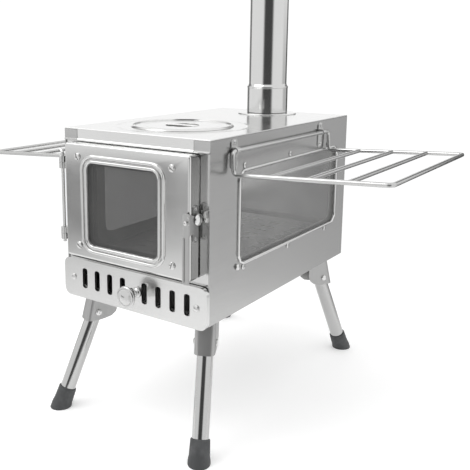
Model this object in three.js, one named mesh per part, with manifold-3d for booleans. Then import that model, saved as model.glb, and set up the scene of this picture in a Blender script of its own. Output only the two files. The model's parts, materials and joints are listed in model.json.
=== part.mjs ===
// A tent wood stove of folded stainless sheet: a firebox with glazed sides and a glazed door, a slotted air
// panel with a sliding damper, two wire side racks, four folding tube legs, a cooking lid and a flue pipe.
// Millimetres, +Z up, the door faces -Y. The origin is on the ground under the middle of the stove.
import * as THREE from "three";
import { mergeVertices } from "three/addons/utils/BufferGeometryUtils.js";
import Module from "manifold-3d";

const wasm = await Module();
wasm.setup();

// ---------------------------------------------------------------------------------------------------------
// Driving dimensions. Unless a comment says otherwise, places are measured in the firebox's own frame:
// X from its middle, Y backwards from its front face, Z up from its floor.
// ---------------------------------------------------------------------------------------------------------
const BODY_WIDTH = 232;
const BODY_DEPTH = 385;
const BODY_HEIGHT = 224;
const FLOOR_ABOVE_GROUND = 167;
const SHEET = 1.5;
const SEAM = 0.1; // left between sheets that are welded or screwed face to face
const FIT = 0.3; // running clearance round pins and between a pressed piece and its seat

const BAND_HEIGHT = 16.5; // the top's edge, folded down over the front
const BAND_TAB = 23; // the corner tabs at each end of that band
const HEM_RADIUS = 1.5;

const DOOR_LEFT_MARGIN = 16.5; // from the firebox's sides, top and floor to the door's edges
const DOOR_RIGHT_MARGIN = 15.5;
const DOOR_TOP_MARGIN = 17;
const DOOR_BOTTOM = 57;
const DOOR_DEPTH = 18;
const DOOR_BEND = 2.5;
const DOORWAY_LAP = 13; // how far the door laps over the doorway all round
const DOORWAY_CORNER = 8;
const PANE_LEFT_MARGIN = 39.5; // from the door's edges to its window
const PANE_RIGHT_MARGIN = 46.5;
const PANE_TOP_MARGIN = 23.5;
const PANE_BOTTOM_MARGIN = 19.5;
const PANE_CORNER = 9;
const PANE_BEAD = 4.5; // width of each of the two pressed beads round the door's window
const PANE_BEAD_GAP = 1.8; // between the two beads
const PANE_BEAD_RISE = 2.6;
const PANE_LAP = 3; // how far a pane runs behind the sheet round its window
const DOOR_GLASS = 4;
const DOOR_SCREW_HEAD = 4.6;
const DOOR_SCREW_GAPS = [0.6, 5.6]; // from the outer bead to the left and right screw heads
const DOOR_SCREW_LOW = 3.2; // from the window's lower and upper edges to the screws
const DOOR_SCREW_HIGH = 6.8;
const RETAINER_LAP = 6; // round the screws that hold a retainer frame

const HINGE_OUTSET = 8.5; // from the door's left edge out to the hinge pin
const HINGE_SETBACK = 5; // from the door's face back to the hinge pin
const HINGE_INSET = 23; // from the door's top and bottom to the middles of the fixed knuckles
const HINGE_PIN_RADIUS = 2.1;
const HINGE_KNUCKLE_RADIUS = 4.8;
const HINGE_KNUCKLE_HEIGHT = 8;

const LATCH_PIVOT_Y = -7.5;
const LATCH_PIVOT_DROP = 0.5; // below the middle of the door
const LATCH_BASE_HALF = 22.5;
const LATCH_RIVET_SPAN = 35;
const LATCH_PIN_RADIUS = 2.4;
const LATCH_PIN_HEAD = 7.2;
const LATCH_INWARD_SWING = 2.5; // degrees that the hanging grip can be pressed towards the door
const LATCH_EYE = 4.4;
const LATCH_FACE_RISE = 9;
const LATCH_FACE_FALL = 18;
const GRIP_LAP = 6.5; // how far the grip reaches over the door's face
const GRIP_BELOW_DOOR = 1.5;
const FINGER_WIDTH = 1.7;
const KEEPER_LIP = 1.3;

const AIR_PANEL_OVERHANG = 1; // past each side of the firebox
const AIR_PANEL_BOTTOM = -4.5;
const AIR_PANEL_TOP = 48.5;
const AIR_PANEL_DEPTH = 6;
const AIR_PANEL_CORNER = 10;
const AIR_SLOT_WIDTH = 6.6;
const AIR_SLOT_HEIGHT = 28;
const AIR_SLOT_CENTRE_Z = 23.5;
const AIR_SLOT_MIDDLE_X = 3; // middle of the slot pattern
const AIR_SLOT_MIDDLE_GAP = 35.8; // between the two slots on each side of the knob
const AIR_SLOT_END_MARGIN = 33.1; // from the panel's ends to the outermost slots, were they in its middle
const AIR_SLOTS_A_SIDE = 4;
const AIR_SCREW_INSETS = [17, 15]; // from the panel's left and right ends
const AIR_SCREW_DROP = 1; // below the middle of the slots
const AIR_SCREW_HEAD = 4.3;
const DAMPER_TRAVEL = 11;
const DAMPER_LAP = 4.5; // above and below the slots
const DAMPER_THICKNESS = 1.2;
const DAMPER_BEHIND = 1.1; // behind the air panel's sheet
const KNOB_X = 12.5;
const KNOB_Z = 24;
const KNOB_RADIUS = 12.8;
const KNOB_POST = 2.8;
const KNOB_STAND = 25; // from the air panel to the knob's crown

const WINDOW_FRONT = 65.5;
const WINDOW_REAR_MARGIN = 39;
const WINDOW_TOP_MARGIN = 46;
const WINDOW_BOTTOM = 63.5;
const WINDOW_CORNER = 12;
const WINDOW_LIP = 4;
const WINDOW_LIP_RISE = 3;
const WINDOW_GLASS = 4;
const WINDOW_SCREW_INSETS = [11, 30.5]; // from the window's front and rear edges
const WINDOW_SCREW_HEAD = 3;
const WINDOW_SCREW_SHANK = 1.3;
const WINDOW_RETAINER = 14; // width of the retainer frame outside the window

const RACK_INSETS = [40, 78]; // from the firebox's front and rear faces
const RACK_REACH = 197; // from the side wall to the rack's outer bar
const RACK_WIRE = 2.4;
const RACK_BEND = 6;
const RACK_PIVOT_DROP = 17; // below the cooking top
const RACK_BARS = 3;
const RACK_TILT = 3; // degrees: the right rack rises outwards and the left one falls, as they hang
const RACK_WALL_GAP = 0.4; // from the hanging rack to the window's lip
const SADDLE_INSETS = [10.5, 19.5]; // from the rack's front and rear ends to the middles of its saddles
const SADDLE_WIDTH = 15;
const SADDLE_SHEET = 1.2;
const SADDLE_RISE = 14; // above the rack's rod
const SADDLE_CORNER = 5;
const SADDLE_SCREW_SHANK = 1.4;
const SADDLE_SCREW_HEAD = 3.4;

const LEG_INSETS = [27.5, 33.5]; // from the front and rear faces to the leg pivots
const LEG_SIDE_INSET = 22.5;
const LEG_PIVOT_DROP = 34;
const LEG_RADIUS = 10.5;
const LEG_WALL = 1.5;
const LEG_SPLAY = 22.2; // degrees from upright
const LEG_BEARING = 26.4; // degrees from the stove's fore-and-aft line
const LEG_TOP = 7; // tube above its pivot
const PIVOT_RADIUS = 2.6;
const RIVET_HEAD = 4.6;
const RIVET_RISE = 2.2;
const BRACKET_HEIGHT = 45;
const BRACKET_LENGTH = 46;
const BRACKET_LEAN = 14; // degrees
const BRACKET_BEND = 6;
const BRACKET_SIDE_GAP = 1.2; // between the tube and the bracket's sides
const FOOT_TOP_RADIUS = 12.3;
const FOOT_BOTTOM_RADIUS = 14;
const FOOT_LENGTH = 34;
const FOOT_SOLE = 11.7; // rubber below the tube's end

const LID_Y = 105.5;
const LID_RADIUS = 69.5;
const LID_LAP = 7; // how far the lid's rim lies on the top, round its hole
const LID_RISE = 2.4;
const LID_RING_DEPTH = 3.5;
const LID_GROOVE_INSET = 17.8; // from the rim
const LID_CUP = 22.5;
const LID_CUP_DEPTH = 6;
const LIFTING_BAR = 12;
const FLUE_INSET = 48; // from the rear face to the flue's axis
const FLUE_RADIUS = 30;
const FLUE_FLANGE = 46.3;
const FLUE_WALL = 1;
const COLLAR_RISE = 2.2;
const COLLAR_SKIRT = 10; // below the cooking top
const BELL_RADIUS = 32.2;
const BELL_LENGTH = 39;
const SHOULDER = 5.5; // the taper from a pipe's bell back to its own radius
const SPIGOT_HEIGHT = 34;
const PIPE_LENGTH = 300;

const FLOOR_FLANGE = 12;
const GRATE_Z = 45.5;
const GRATE_SIDE_GAP = 12; // from the firebox's outside to the grate
const GRATE_FRONT = 22;
const GRATE_REAR_GAP = 17;
const GRATE_SLOT_LENGTH = 26;
const GRATE_SLOT_WIDTH = 5;
const GRATE_PITCH_X = 48.4;
const GRATE_PITCH_Y = 25.6;
const GRATE_COLUMNS = 4;
const GRATE_BORDER = 26; // from the grate's front and rear edges to the middles of its end slots
const GRATE_REST_LAP = 5;
const GRATE_REST_DEPTH = 14;
const GRATE_REST_INSET = 4; // from each end of the grate

// Worked out from the driving dimensions.
const HALF = BODY_WIDTH / 2;
const INSIDE = HALF - SHEET - SEAM;
const TOP_UNDERSIDE = BODY_HEIGHT - SHEET;
const TOP_SEAT = BODY_HEIGHT + SEAM;
const FRAME_Y = SHEET + SEAM; // front face of the sheet that carries the doorway
const BAND_HALF = HALF - BAND_TAB;
const BAND_BOTTOM = BODY_HEIGHT - BAND_HEIGHT;
const LEG_FRONT = LEG_INSETS[0];
const LEG_REAR = BODY_DEPTH - LEG_INSETS[1];
const LEG_MIDDLE = (LEG_FRONT + LEG_REAR) / 2;
const DOOR_LEFT = -HALF + DOOR_LEFT_MARGIN;
const DOOR_RIGHT = HALF - DOOR_RIGHT_MARGIN;
const DOOR_TOP = BODY_HEIGHT - DOOR_TOP_MARGIN;
const PANE = {
  left: DOOR_LEFT + PANE_LEFT_MARGIN,
  right: DOOR_RIGHT - PANE_RIGHT_MARGIN,
  bottom: DOOR_BOTTOM + PANE_BOTTOM_MARGIN,
  top: DOOR_TOP - PANE_TOP_MARGIN,
};
const WINDOW_REAR = BODY_DEPTH - WINDOW_REAR_MARGIN;
const WINDOW_TOP = BODY_HEIGHT - WINDOW_TOP_MARGIN;
const RACK_PIVOT_Z = BODY_HEIGHT - RACK_PIVOT_DROP;
const FLUE_Y = BODY_DEPTH - FLUE_INSET;
const BEYOND = BODY_WIDTH + BODY_DEPTH; // how far an open-ended cut runs on, past anything that it could meet

// ---------------------------------------------------------------------------------------------------------
// Solids: joins and cuts, and the ways a flat outline is laid into the object.
// ---------------------------------------------------------------------------------------------------------
function loose(geometry) {
  return geometry.index ? geometry.toNonIndexed() : geometry.clone();
}

function manifoldOf(geometry) {
  const bare = new THREE.BufferGeometry();
  bare.setAttribute("position", loose(geometry).getAttribute("position").clone());
  const merged = mergeVertices(bare, 1e-4);
  const corners = merged.index.array;
  const kept = [];
  for (let i = 0; i < corners.length; i += 3) {
    const [a, b, c] = corners.subarray(i, i + 3);
    if (a !== b && b !== c && c !== a) kept.push(a, b, c);
  }
  return new wasm.Manifold(
    new wasm.Mesh({
      numProp: 3,
      vertProperties: merged.attributes.position.array,
      triVerts: new Uint32Array(kept),
    }),
  );
}

function geometryOf(manifold) {
  const mesh = manifold.getMesh();
  const geometry = new THREE.BufferGeometry();
  geometry.setAttribute("position", new THREE.BufferAttribute(new Float32Array(mesh.vertProperties), 3));
  geometry.setIndex(new THREE.BufferAttribute(new Uint32Array(mesh.triVerts), 1));
  geometry.computeVertexNormals();
  return geometry;
}

function join(...parts) {
  const solids = parts.flat().map(manifoldOf);
  return geometryOf(solids.reduce((all, next) => all.add(next)));
}

function cut(part, ...tools) {
  const solids = tools.flat().map(manifoldOf);
  return geometryOf(solids.reduce((left, tool) => left.subtract(tool), manifoldOf(part)));
}

function common(part, other) {
  return geometryOf(manifoldOf(part).intersect(manifoldOf(other)));
}

function box(x0, x1, y0, y1, z0, z1) {
  const geometry = new THREE.BoxGeometry(x1 - x0, y1 - y0, z1 - z0);
  return geometry.translate((x0 + x1) / 2, (y0 + y1) / 2, (z0 + z1) / 2);
}

const ALONG_X = new THREE.Matrix4().makeBasis(
  new THREE.Vector3(0, 1, 0),
  new THREE.Vector3(0, 0, 1),
  new THREE.Vector3(1, 0, 0),
);

function extrude(outline, depth, curveSegments) {
  return new THREE.ExtrudeGeometry(outline, { depth, bevelEnabled: false, curveSegments });
}

// An outline in X and Y, extruded upwards from z.
function level(outline, z, thickness, curve = 8) {
  return extrude(outline, thickness, curve).translate(0, 0, z);
}

// An outline in X and Z, extruded backwards from y.
function facing(outline, y, thickness, curve = 8) {
  return extrude(outline, thickness, curve).rotateX(Math.PI / 2).translate(0, y + thickness, 0);
}

// An outline in Y and Z, extruded to the right from x.
function sideways(outline, x, thickness, curve = 8) {
  return extrude(outline, thickness, curve).applyMatrix4(ALONG_X).translate(x, 0, 0);
}

function rounded(u0, u1, v0, v1, radius) {
  const shape = new THREE.Shape();
  shape.moveTo(u0 + radius, v0);
  shape.lineTo(u1 - radius, v0);
  shape.absarc(u1 - radius, v0 + radius, radius, -Math.PI / 2, 0, false);
  shape.lineTo(u1, v1 - radius);
  shape.absarc(u1 - radius, v1 - radius, radius, 0, Math.PI / 2, false);
  shape.lineTo(u0 + radius, v1);
  shape.absarc(u0 + radius, v1 - radius, radius, Math.PI / 2, Math.PI, false);
  shape.lineTo(u0, v0 + radius);
  shape.absarc(u0 + radius, v0 + radius, radius, Math.PI, Math.PI * 1.5, false);
  return shape;
}

function rectangle(u0, u1, v0, v1) {
  const corners = [
    [u0, v0],
    [u1, v0],
    [u1, v1],
    [u0, v1],
  ];
  return new THREE.Shape(corners.map(([u, v]) => new THREE.Vector2(u, v)));
}

function outline(points) {
  return new THREE.Shape(points.map(([u, v]) => new THREE.Vector2(u, v)));
}

function ringOutline(outer, inner) {
  outer.holes.push(inner);
  return outer;
}

function disc(u, v, radius) {
  const shape = new THREE.Shape();
  shape.absarc(u, v, radius, 0, Math.PI * 2, false);
  return shape;
}

// Left straight between a slot's two end arcs, so that they never meet in one point.
const SLIVER = 0.01;

// A slot with round ends, `length` long overall along v.
function slotOutline(u, v, width, length) {
  return rounded(u - width / 2, u + width / 2, v - length / 2, v + length / 2, width / 2 - SLIVER);
}

// A turned piece: points of [radius, height], standing on +Z.
function turned(points, segments = 16) {
  const profile = points.map(([r, h]) => new THREE.Vector2(r, h));
  return new THREE.LatheGeometry(profile, segments).rotateX(Math.PI / 2);
}

function cylinder(radius, z0, z1, segments = 16) {
  const points = [
    [0, z0],
    [radius, z0],
    [radius, z1],
    [0, z1],
  ];
  return turned(points, segments);
}

// Turns a piece that stands on +Z so that it points along `direction`, and sets it down at a place.
function pointed(geometry, direction, x, y, z) {
  const turn = new THREE.Quaternion();
  turn.setFromUnitVectors(new THREE.Vector3(0, 0, 1), new THREE.Vector3(...direction).normalize());
  return geometry.applyQuaternion(turn).translate(x, y, z);
}

const RIGHT = [1, 0, 0];
const FORWARD = [0, -1, 0];

// A screw or rivet with a domed head, whose underside is at height 0.
function fastener(head, rise, shank, length, segments = 8) {
  return turned(
    [
      [0, -length],
      [shank, -length],
      [shank, 0],
      [head, 0],
      [head * 0.75, rise * 0.8],
      [0, rise],
    ],
    segments,
  );
}

function slottedScrew(head, rise, shank, length) {
  const slot = box(-head - 1, head + 1, -0.5, 0.5, rise * 0.45, rise + 1);
  return cut(fastener(head, rise, shank, length, 12), slot);
}

// A run of bent wire. Its points are already rounded at the bends, so each one becomes one section.
class WireRun extends THREE.Curve {
  constructor(points) {
    super();
    this.points = points;
  }
  getPoint(t, target = new THREE.Vector3()) {
    const spans = this.points.length - 1;
    const i = Math.min(Math.floor(t * spans + 1e-9), spans - 1);
    return target.lerpVectors(this.points[i], this.points[i + 1], t * spans - i);
  }
  getPointAt(t, target) {
    return this.getPoint(t, target);
  }
  getSpacedPoints() {
    return this.points;
  }
  getTangentAt(t, target = new THREE.Vector3()) {
    const i = Math.round(t * (this.points.length - 1));
    const before = this.points[Math.max(i - 1, 0)];
    const after = this.points[Math.min(i + 1, this.points.length - 1)];
    const here = this.points[i];
    const into = new THREE.Vector3().subVectors(here, before).normalize();
    const out = new THREE.Vector3().subVectors(after, here).normalize();
    return target.addVectors(into, out).normalize();
  }
}

// Rounds each inner corner of a run of straight wire with an arc of `steps` spans.
function bentWire(corners, bend, steps = 3) {
  const points = [corners[0]];
  for (let i = 1; i < corners.length - 1; i++) {
    const corner = corners[i];
    const back = new THREE.Vector3().subVectors(corners[i - 1], corner).normalize();
    const on = new THREE.Vector3().subVectors(corners[i + 1], corner).normalize();
    const half = back.angleTo(on) / 2;
    const reach = bend / Math.tan(half);
    const middle = new THREE.Vector3().addVectors(back, on).normalize();
    const centre = corner.clone().addScaledVector(middle, bend / Math.sin(half));
    const start = corner.clone().addScaledVector(back, reach).sub(centre);
    const axis = new THREE.Vector3().crossVectors(on, back).normalize();
    for (let k = 0; k <= steps; k++) {
      const turn = ((Math.PI - half * 2) * k) / steps;
      points.push(start.clone().applyAxisAngle(axis, turn).add(centre));
    }
  }
  points.push(corners[corners.length - 1]);
  return points;
}

function wire(corners, radius, bend) {
  const points = bentWire(
    corners.map(([x, y, z]) => new THREE.Vector3(x, y, z)),
    bend,
  );
  const section = new THREE.Shape();
  section.absarc(0, 0, radius, 0, Math.PI * 2, false);
  const extrudePath = new WireRun(points);
  return new THREE.ExtrudeGeometry(section, { steps: points.length - 1, extrudePath, curveSegments: 4 });
}

// ---------------------------------------------------------------------------------------------------------
// Firebox: floor pan, two side walls with window openings, rear wall, the front sheet and the cooking top.
// ---------------------------------------------------------------------------------------------------------
function floorPan() {
  const section = outline([
    [-INSIDE, 0],
    [INSIDE, 0],
    [INSIDE, FLOOR_FLANGE],
    [INSIDE - SHEET, FLOOR_FLANGE],
    [INSIDE - SHEET, SHEET],
    [-INSIDE + SHEET, SHEET],
    [-INSIDE + SHEET, FLOOR_FLANGE],
    [-INSIDE, FLOOR_FLANGE],
  ]);
  const front = FRAME_Y + SHEET + SEAM;
  const rear = BODY_DEPTH - SHEET - SEAM;
  return facing(section, front, rear - front);
}

function windowOutline(grow) {
  return rounded(
    WINDOW_FRONT - grow,
    WINDOW_REAR + grow,
    WINDOW_BOTTOM - grow,
    WINDOW_TOP + grow,
    WINDOW_CORNER + Math.max(grow, 0),
  );
}

const WINDOW_SCREW_OUT = WINDOW_LIP + WINDOW_SCREW_HEAD + FIT * 2;
const WINDOW_SCREWS_Z = [WINDOW_BOTTOM - WINDOW_SCREW_OUT, WINDOW_TOP + WINDOW_SCREW_OUT];
const WINDOW_SCREWS_FRONT = WINDOW_FRONT + WINDOW_SCREW_INSETS[0];
const WINDOW_SCREWS_REAR = WINDOW_REAR - WINDOW_SCREW_INSETS[1];
const WINDOW_SCREWS_Y = [WINDOW_SCREWS_FRONT, (WINDOW_SCREWS_FRONT + WINDOW_SCREWS_REAR) / 2, WINDOW_SCREWS_REAR];

function eachWindowScrew(make) {
  return WINDOW_SCREWS_Y.flatMap((y) => WINDOW_SCREWS_Z.map((z) => make(y, z)));
}

const GRATE_HALF = HALF - GRATE_SIDE_GAP;
const GRATE_REAR = BODY_DEPTH - GRATE_REAR_GAP;

// An angle welded inside each side wall, which the grate lies on.
function grateRest() {
  const wall = HALF - SHEET / 2;
  const shelf = GRATE_HALF - GRATE_REST_LAP;
  const section = outline([
    [shelf, GRATE_Z - SHEET - SEAM],
    [wall - SHEET * 1.5, GRATE_Z - SHEET - SEAM],
    [wall - SHEET * 1.5, GRATE_Z - GRATE_REST_DEPTH],
    [wall, GRATE_Z - GRATE_REST_DEPTH],
    [wall, GRATE_Z - SEAM],
    [shelf, GRATE_Z - SEAM],
  ]);
  return facing(section, GRATE_FRONT + GRATE_REST_INSET, GRATE_REAR - GRATE_FRONT - GRATE_REST_INSET * 2);
}

// The band that folds down over the front: its tabs at the corners belong to the side walls.
function bandHem(x0, x1) {
  const z = BAND_BOTTOM + HEM_RADIUS;
  return pointed(cylinder(HEM_RADIUS, 0, x1 - x0, 8), RIGHT, x0, 0, z);
}

function sideWall() {
  const top = TOP_UNDERSIDE - SEAM;
  const sheet = ringOutline(rectangle(0, BODY_DEPTH, 0, top), windowOutline(0));
  const wall = sideways(sheet, HALF - SHEET, SHEET, 2);
  const tab = box(BAND_HALF + FIT, HALF - SHEET / 2, 0, SHEET, BAND_BOTTOM + HEM_RADIUS, top);
  const hem = bandHem(BAND_HALF + FIT, HALF - SHEET / 3);
  const screws = eachWindowScrew((y, z) => {
    const reach = SHEET * 3 + WINDOW_GLASS;
    const rise = WINDOW_SCREW_HEAD * 0.55;
    return pointed(fastener(WINDOW_SCREW_HEAD, rise, WINDOW_SCREW_SHANK, reach), RIGHT, HALF - SEAM / 2, y, z);
  });
  const whole = join(wall, tab, hem, grateRest(), screws);
  return cut(whole, saddleScrewHoles(HALF - SHEET * 2));
}

// Mirrors a finished piece from the right side of the stove to the left one.
function mirrored(geometry) {
  const copy = loose(geometry);
  const place = copy.getAttribute("position");
  for (let i = 0; i < place.count; i++) place.setX(i, -place.getX(i));
  for (let i = 0; i < place.count; i += 3) {
    for (const axis of [0, 1, 2]) {
      const held = place.array[i * 3 + 3 + axis];
      place.array[i * 3 + 3 + axis] = place.array[i * 3 + 6 + axis];
      place.array[i * 3 + 6 + axis] = held;
    }
  }
  copy.computeVertexNormals();
  return copy;
}

function rearWall() {
  const sheet = rectangle(-INSIDE, INSIDE, SEAM, TOP_UNDERSIDE - SEAM);
  return facing(sheet, BODY_DEPTH - SHEET, SHEET);
}

const AIR_PANEL_HALF = HALF + AIR_PANEL_OVERHANG;
const AIR_SLOTS_REACH = AIR_PANEL_HALF - AIR_SLOT_END_MARGIN; // from the pattern's middle to its end slots
const AIR_WAY_LAP = 1.8; // how far the way through the front sheet runs past the end slots
const AIR_WAY_INSET = 2; // and how far it stops short of the slots' tops and bottoms

function frontSheet() {
  const sheet = rectangle(-INSIDE, INSIDE, SEAM, TOP_UNDERSIDE - SEAM);
  const doorway = rounded(
    DOOR_LEFT + DOORWAY_LAP,
    DOOR_RIGHT - DOORWAY_LAP,
    DOOR_BOTTOM + DOORWAY_LAP,
    DOOR_TOP - DOORWAY_LAP,
    DOORWAY_CORNER,
  );
  const wayHalf = AIR_SLOT_MIDDLE_X + AIR_SLOTS_REACH + AIR_SLOT_WIDTH / 2 + AIR_WAY_LAP;
  const wayRise = AIR_SLOT_HEIGHT / 2 - AIR_WAY_INSET;
  const airWay = rounded(-wayHalf, wayHalf, AIR_SLOT_CENTRE_Z - wayRise, AIR_SLOT_CENTRE_Z + wayRise, 4);
  sheet.holes.push(doorway, airWay);
  return cut(facing(sheet, FRAME_Y, SHEET, 2), airScrewHoles());
}

function cookingTop() {
  const sheet = rectangle(-HALF, HALF, 0, BODY_DEPTH);
  sheet.holes.push(disc(0, LID_Y, LID_RADIUS - LID_LAP));
  sheet.holes.push(disc(0, FLUE_Y, FLUE_RADIUS + FIT));
  const plate = level(sheet, TOP_UNDERSIDE, SHEET, 16);
  const band = box(-BAND_HALF, BAND_HALF, 0, SHEET, BAND_BOTTOM + HEM_RADIUS, BODY_HEIGHT - SHEET / 2);
  return join(plate, band, bandHem(-BAND_HALF, BAND_HALF));
}

// ---------------------------------------------------------------------------------------------------------
// Side windows: a pressed lip outside, the pane against the wall's inner face, a retainer frame behind it
// and six screws through wall and retainer.
// ---------------------------------------------------------------------------------------------------------
function windowLip() {
  const edge = WINDOW_LIP / 4;
  const ring = ringOutline(windowOutline(WINDOW_LIP - edge), windowOutline(edge));
  const lip = new THREE.ExtrudeGeometry(ring, {
    depth: WINDOW_LIP_RISE - edge,
    bevelThickness: edge,
    bevelSize: edge,
    bevelSegments: 1,
    curveSegments: 2,
  });
  lip.applyMatrix4(ALONG_X).translate(HALF, 0, 0);
  const outside = box(HALF + SEAM, BEYOND, 0, BODY_DEPTH, 0, BODY_HEIGHT);
  return common(lip, outside);
}

function windowRetainer() {
  const outer = rounded(
    WINDOW_FRONT - WINDOW_RETAINER,
    WINDOW_REAR + WINDOW_RETAINER,
    WINDOW_BOTTOM - WINDOW_RETAINER,
    WINDOW_TOP + WINDOW_RETAINER,
    WINDOW_CORNER,
  );
  const frame = ringOutline(outer, windowOutline(-PANE_LAP));
  const x = HALF - SHEET - SEAM * 2 - WINDOW_GLASS - SHEET;
  const holes = eachWindowScrew((y, z) => {
    return pointed(cylinder(WINDOW_SCREW_SHANK + FIT, -SHEET, SHEET * 2, 6), RIGHT, x, y, z);
  });
  return cut(sideways(frame, x, SHEET, 1), holes);
}

function windowGlass() {
  return sideways(windowOutline(PANE_LAP), HALF - SHEET - SEAM - WINDOW_GLASS, WINDOW_GLASS, 2);
}

// ---------------------------------------------------------------------------------------------------------
// Air panel: a shallow pressed tray with eight slots, over a sliding damper plate worked by a turned knob.
// ---------------------------------------------------------------------------------------------------------
const AIR_SLOTS_X = [];
for (let i = 0; i < AIR_SLOTS_A_SIDE; i++) {
  const first = AIR_SLOT_MIDDLE_GAP / 2;
  const out = first + ((AIR_SLOTS_REACH - first) * i) / (AIR_SLOTS_A_SIDE - 1);
  AIR_SLOTS_X.push(AIR_SLOT_MIDDLE_X + out, AIR_SLOT_MIDDLE_X - out);
}
const AIR_SCREWS_X = [-AIR_PANEL_HALF + AIR_SCREW_INSETS[0], AIR_PANEL_HALF - AIR_SCREW_INSETS[1]];
const AIR_SCREW_Z = AIR_SLOT_CENTRE_Z - AIR_SCREW_DROP;
const SCREW_SHANK = 1.8;
const DAMPER_Y = -AIR_PANEL_DEPTH + SHEET + DAMPER_BEHIND;

function airPanel() {
  const outer = rounded(-AIR_PANEL_HALF, AIR_PANEL_HALF, AIR_PANEL_BOTTOM, AIR_PANEL_TOP, AIR_PANEL_CORNER);
  const inner = rounded(
    -AIR_PANEL_HALF + SHEET,
    AIR_PANEL_HALF - SHEET,
    AIR_PANEL_BOTTOM + SHEET,
    AIR_PANEL_TOP - SHEET,
    AIR_PANEL_CORNER - SHEET,
  );
  const behind = AIR_PANEL_DEPTH + FRAME_Y - SEAM;
  const block = facing(outer, -AIR_PANEL_DEPTH, AIR_PANEL_DEPTH - SEAM, 2);
  const hollow = facing(inner, -AIR_PANEL_DEPTH + SHEET, behind, 2);
  const slots = AIR_SLOTS_X.map((x) => {
    const slot = slotOutline(x, AIR_SLOT_CENTRE_Z, AIR_SLOT_WIDTH, AIR_SLOT_HEIGHT);
    return facing(slot, -AIR_PANEL_DEPTH - SHEET, SHEET * 3, 1);
  });
  const reach = KNOB_POST + FIT;
  const knobWay = rounded(
    KNOB_X - DAMPER_TRAVEL - reach,
    KNOB_X + reach,
    KNOB_Z - reach,
    KNOB_Z + reach,
    reach - SLIVER,
  );
  slots.push(facing(knobWay, -AIR_PANEL_DEPTH - SHEET, SHEET * 3, 1));
  return cut(block, hollow, slots, airScrewHoles());
}

function airScrewHoles() {
  return AIR_SCREWS_X.map((x) => {
    return pointed(cylinder(SCREW_SHANK + FIT, -BEYOND, BEYOND, 8), FORWARD, x, 0, AIR_SCREW_Z);
  });
}

// A screw in front of a sheet, through to behind the sheet it holds.
function frontScrew(head, seat, tail, x, z) {
  return pointed(slottedScrew(head, head * 0.5, SCREW_SHANK, tail - seat), FORWARD, x, seat, z);
}

function damperPlate() {
  const clear = SCREW_SHANK + FIT * 2;
  const left = AIR_SCREWS_X[0] + clear + DAMPER_TRAVEL;
  const right = AIR_SCREWS_X[1] - clear - SHEET * 2;
  const rise = AIR_SLOT_HEIGHT / 2 + DAMPER_LAP;
  const plate = rectangle(left, right, AIR_SLOT_CENTRE_Z - rise, AIR_SLOT_CENTRE_Z + rise);
  for (const x of AIR_SLOTS_X) {
    plate.holes.push(slotOutline(x, AIR_SLOT_CENTRE_Z, AIR_SLOT_WIDTH, AIR_SLOT_HEIGHT));
  }
  const hole = pointed(cylinder(KNOB_POST + FIT, -BEYOND, BEYOND, 12), FORWARD, KNOB_X, 0, KNOB_Z);
  return cut(facing(plate, DAMPER_Y, DAMPER_THICKNESS, 1), hole);
}

// The knob is turned from bar: a threaded tail through the damper, two collars, a waist and a dished head.
function damperKnob() {
  const panel = AIR_PANEL_DEPTH;
  const crown = panel + KNOB_STAND;
  const profile = [
    [0, -DAMPER_Y - DAMPER_THICKNESS - SHEET],
    [KNOB_POST, -DAMPER_Y - DAMPER_THICKNESS - SHEET],
    [KNOB_POST, panel + 1],
    [5.6, panel + 1],
    [6.1, panel + 3],
    [5.6, panel + 5],
    [3.6, panel + 6],
    [3.6, panel + 8],
    [5, panel + 9.5],
    [4.2, panel + 12],
    [5.5, crown - 8.5],
    [KNOB_RADIUS - 1.3, crown - 6.5],
    [KNOB_RADIUS, crown - 5],
    [KNOB_RADIUS, crown - 3.2],
    [KNOB_RADIUS - 1.6, crown - 2],
    [KNOB_RADIUS / 2, crown - 0.4],
    [0, crown],
  ];
  return pointed(turned(profile, 16), FORWARD, KNOB_X, 0, KNOB_Z);
}

// ---------------------------------------------------------------------------------------------------------
// Grate: a flat plate with staggered rows of slots, lying on an angle welded to each side wall.
// ---------------------------------------------------------------------------------------------------------
function grateSlot(x, y) {
  const half = GRATE_SLOT_LENGTH / 2;
  const wide = GRATE_SLOT_WIDTH / 2;
  const shoulder = half - wide * 0.8;
  return outline([
    [x - half, y],
    [x - shoulder, y - wide],
    [x + shoulder, y - wide],
    [x + half, y],
    [x + shoulder, y + wide],
    [x - shoulder, y + wide],
  ]);
}

function grate() {
  const plate = rectangle(-GRATE_HALF, GRATE_HALF, GRATE_FRONT, GRATE_REAR);
  for (let column = 0; column < GRATE_COLUMNS; column++) {
    const x = (column - (GRATE_COLUMNS - 1) / 2) * GRATE_PITCH_X;
    const stagger = column % 2 ? GRATE_PITCH_Y / 2 : 0;
    const first = GRATE_FRONT + GRATE_BORDER + stagger;
    for (let y = first; y < GRATE_REAR - GRATE_BORDER + 1; y += GRATE_PITCH_Y) plate.holes.push(grateSlot(x, y));
  }
  return level(plate, GRATE_Z, SHEET, 1);
}

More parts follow.
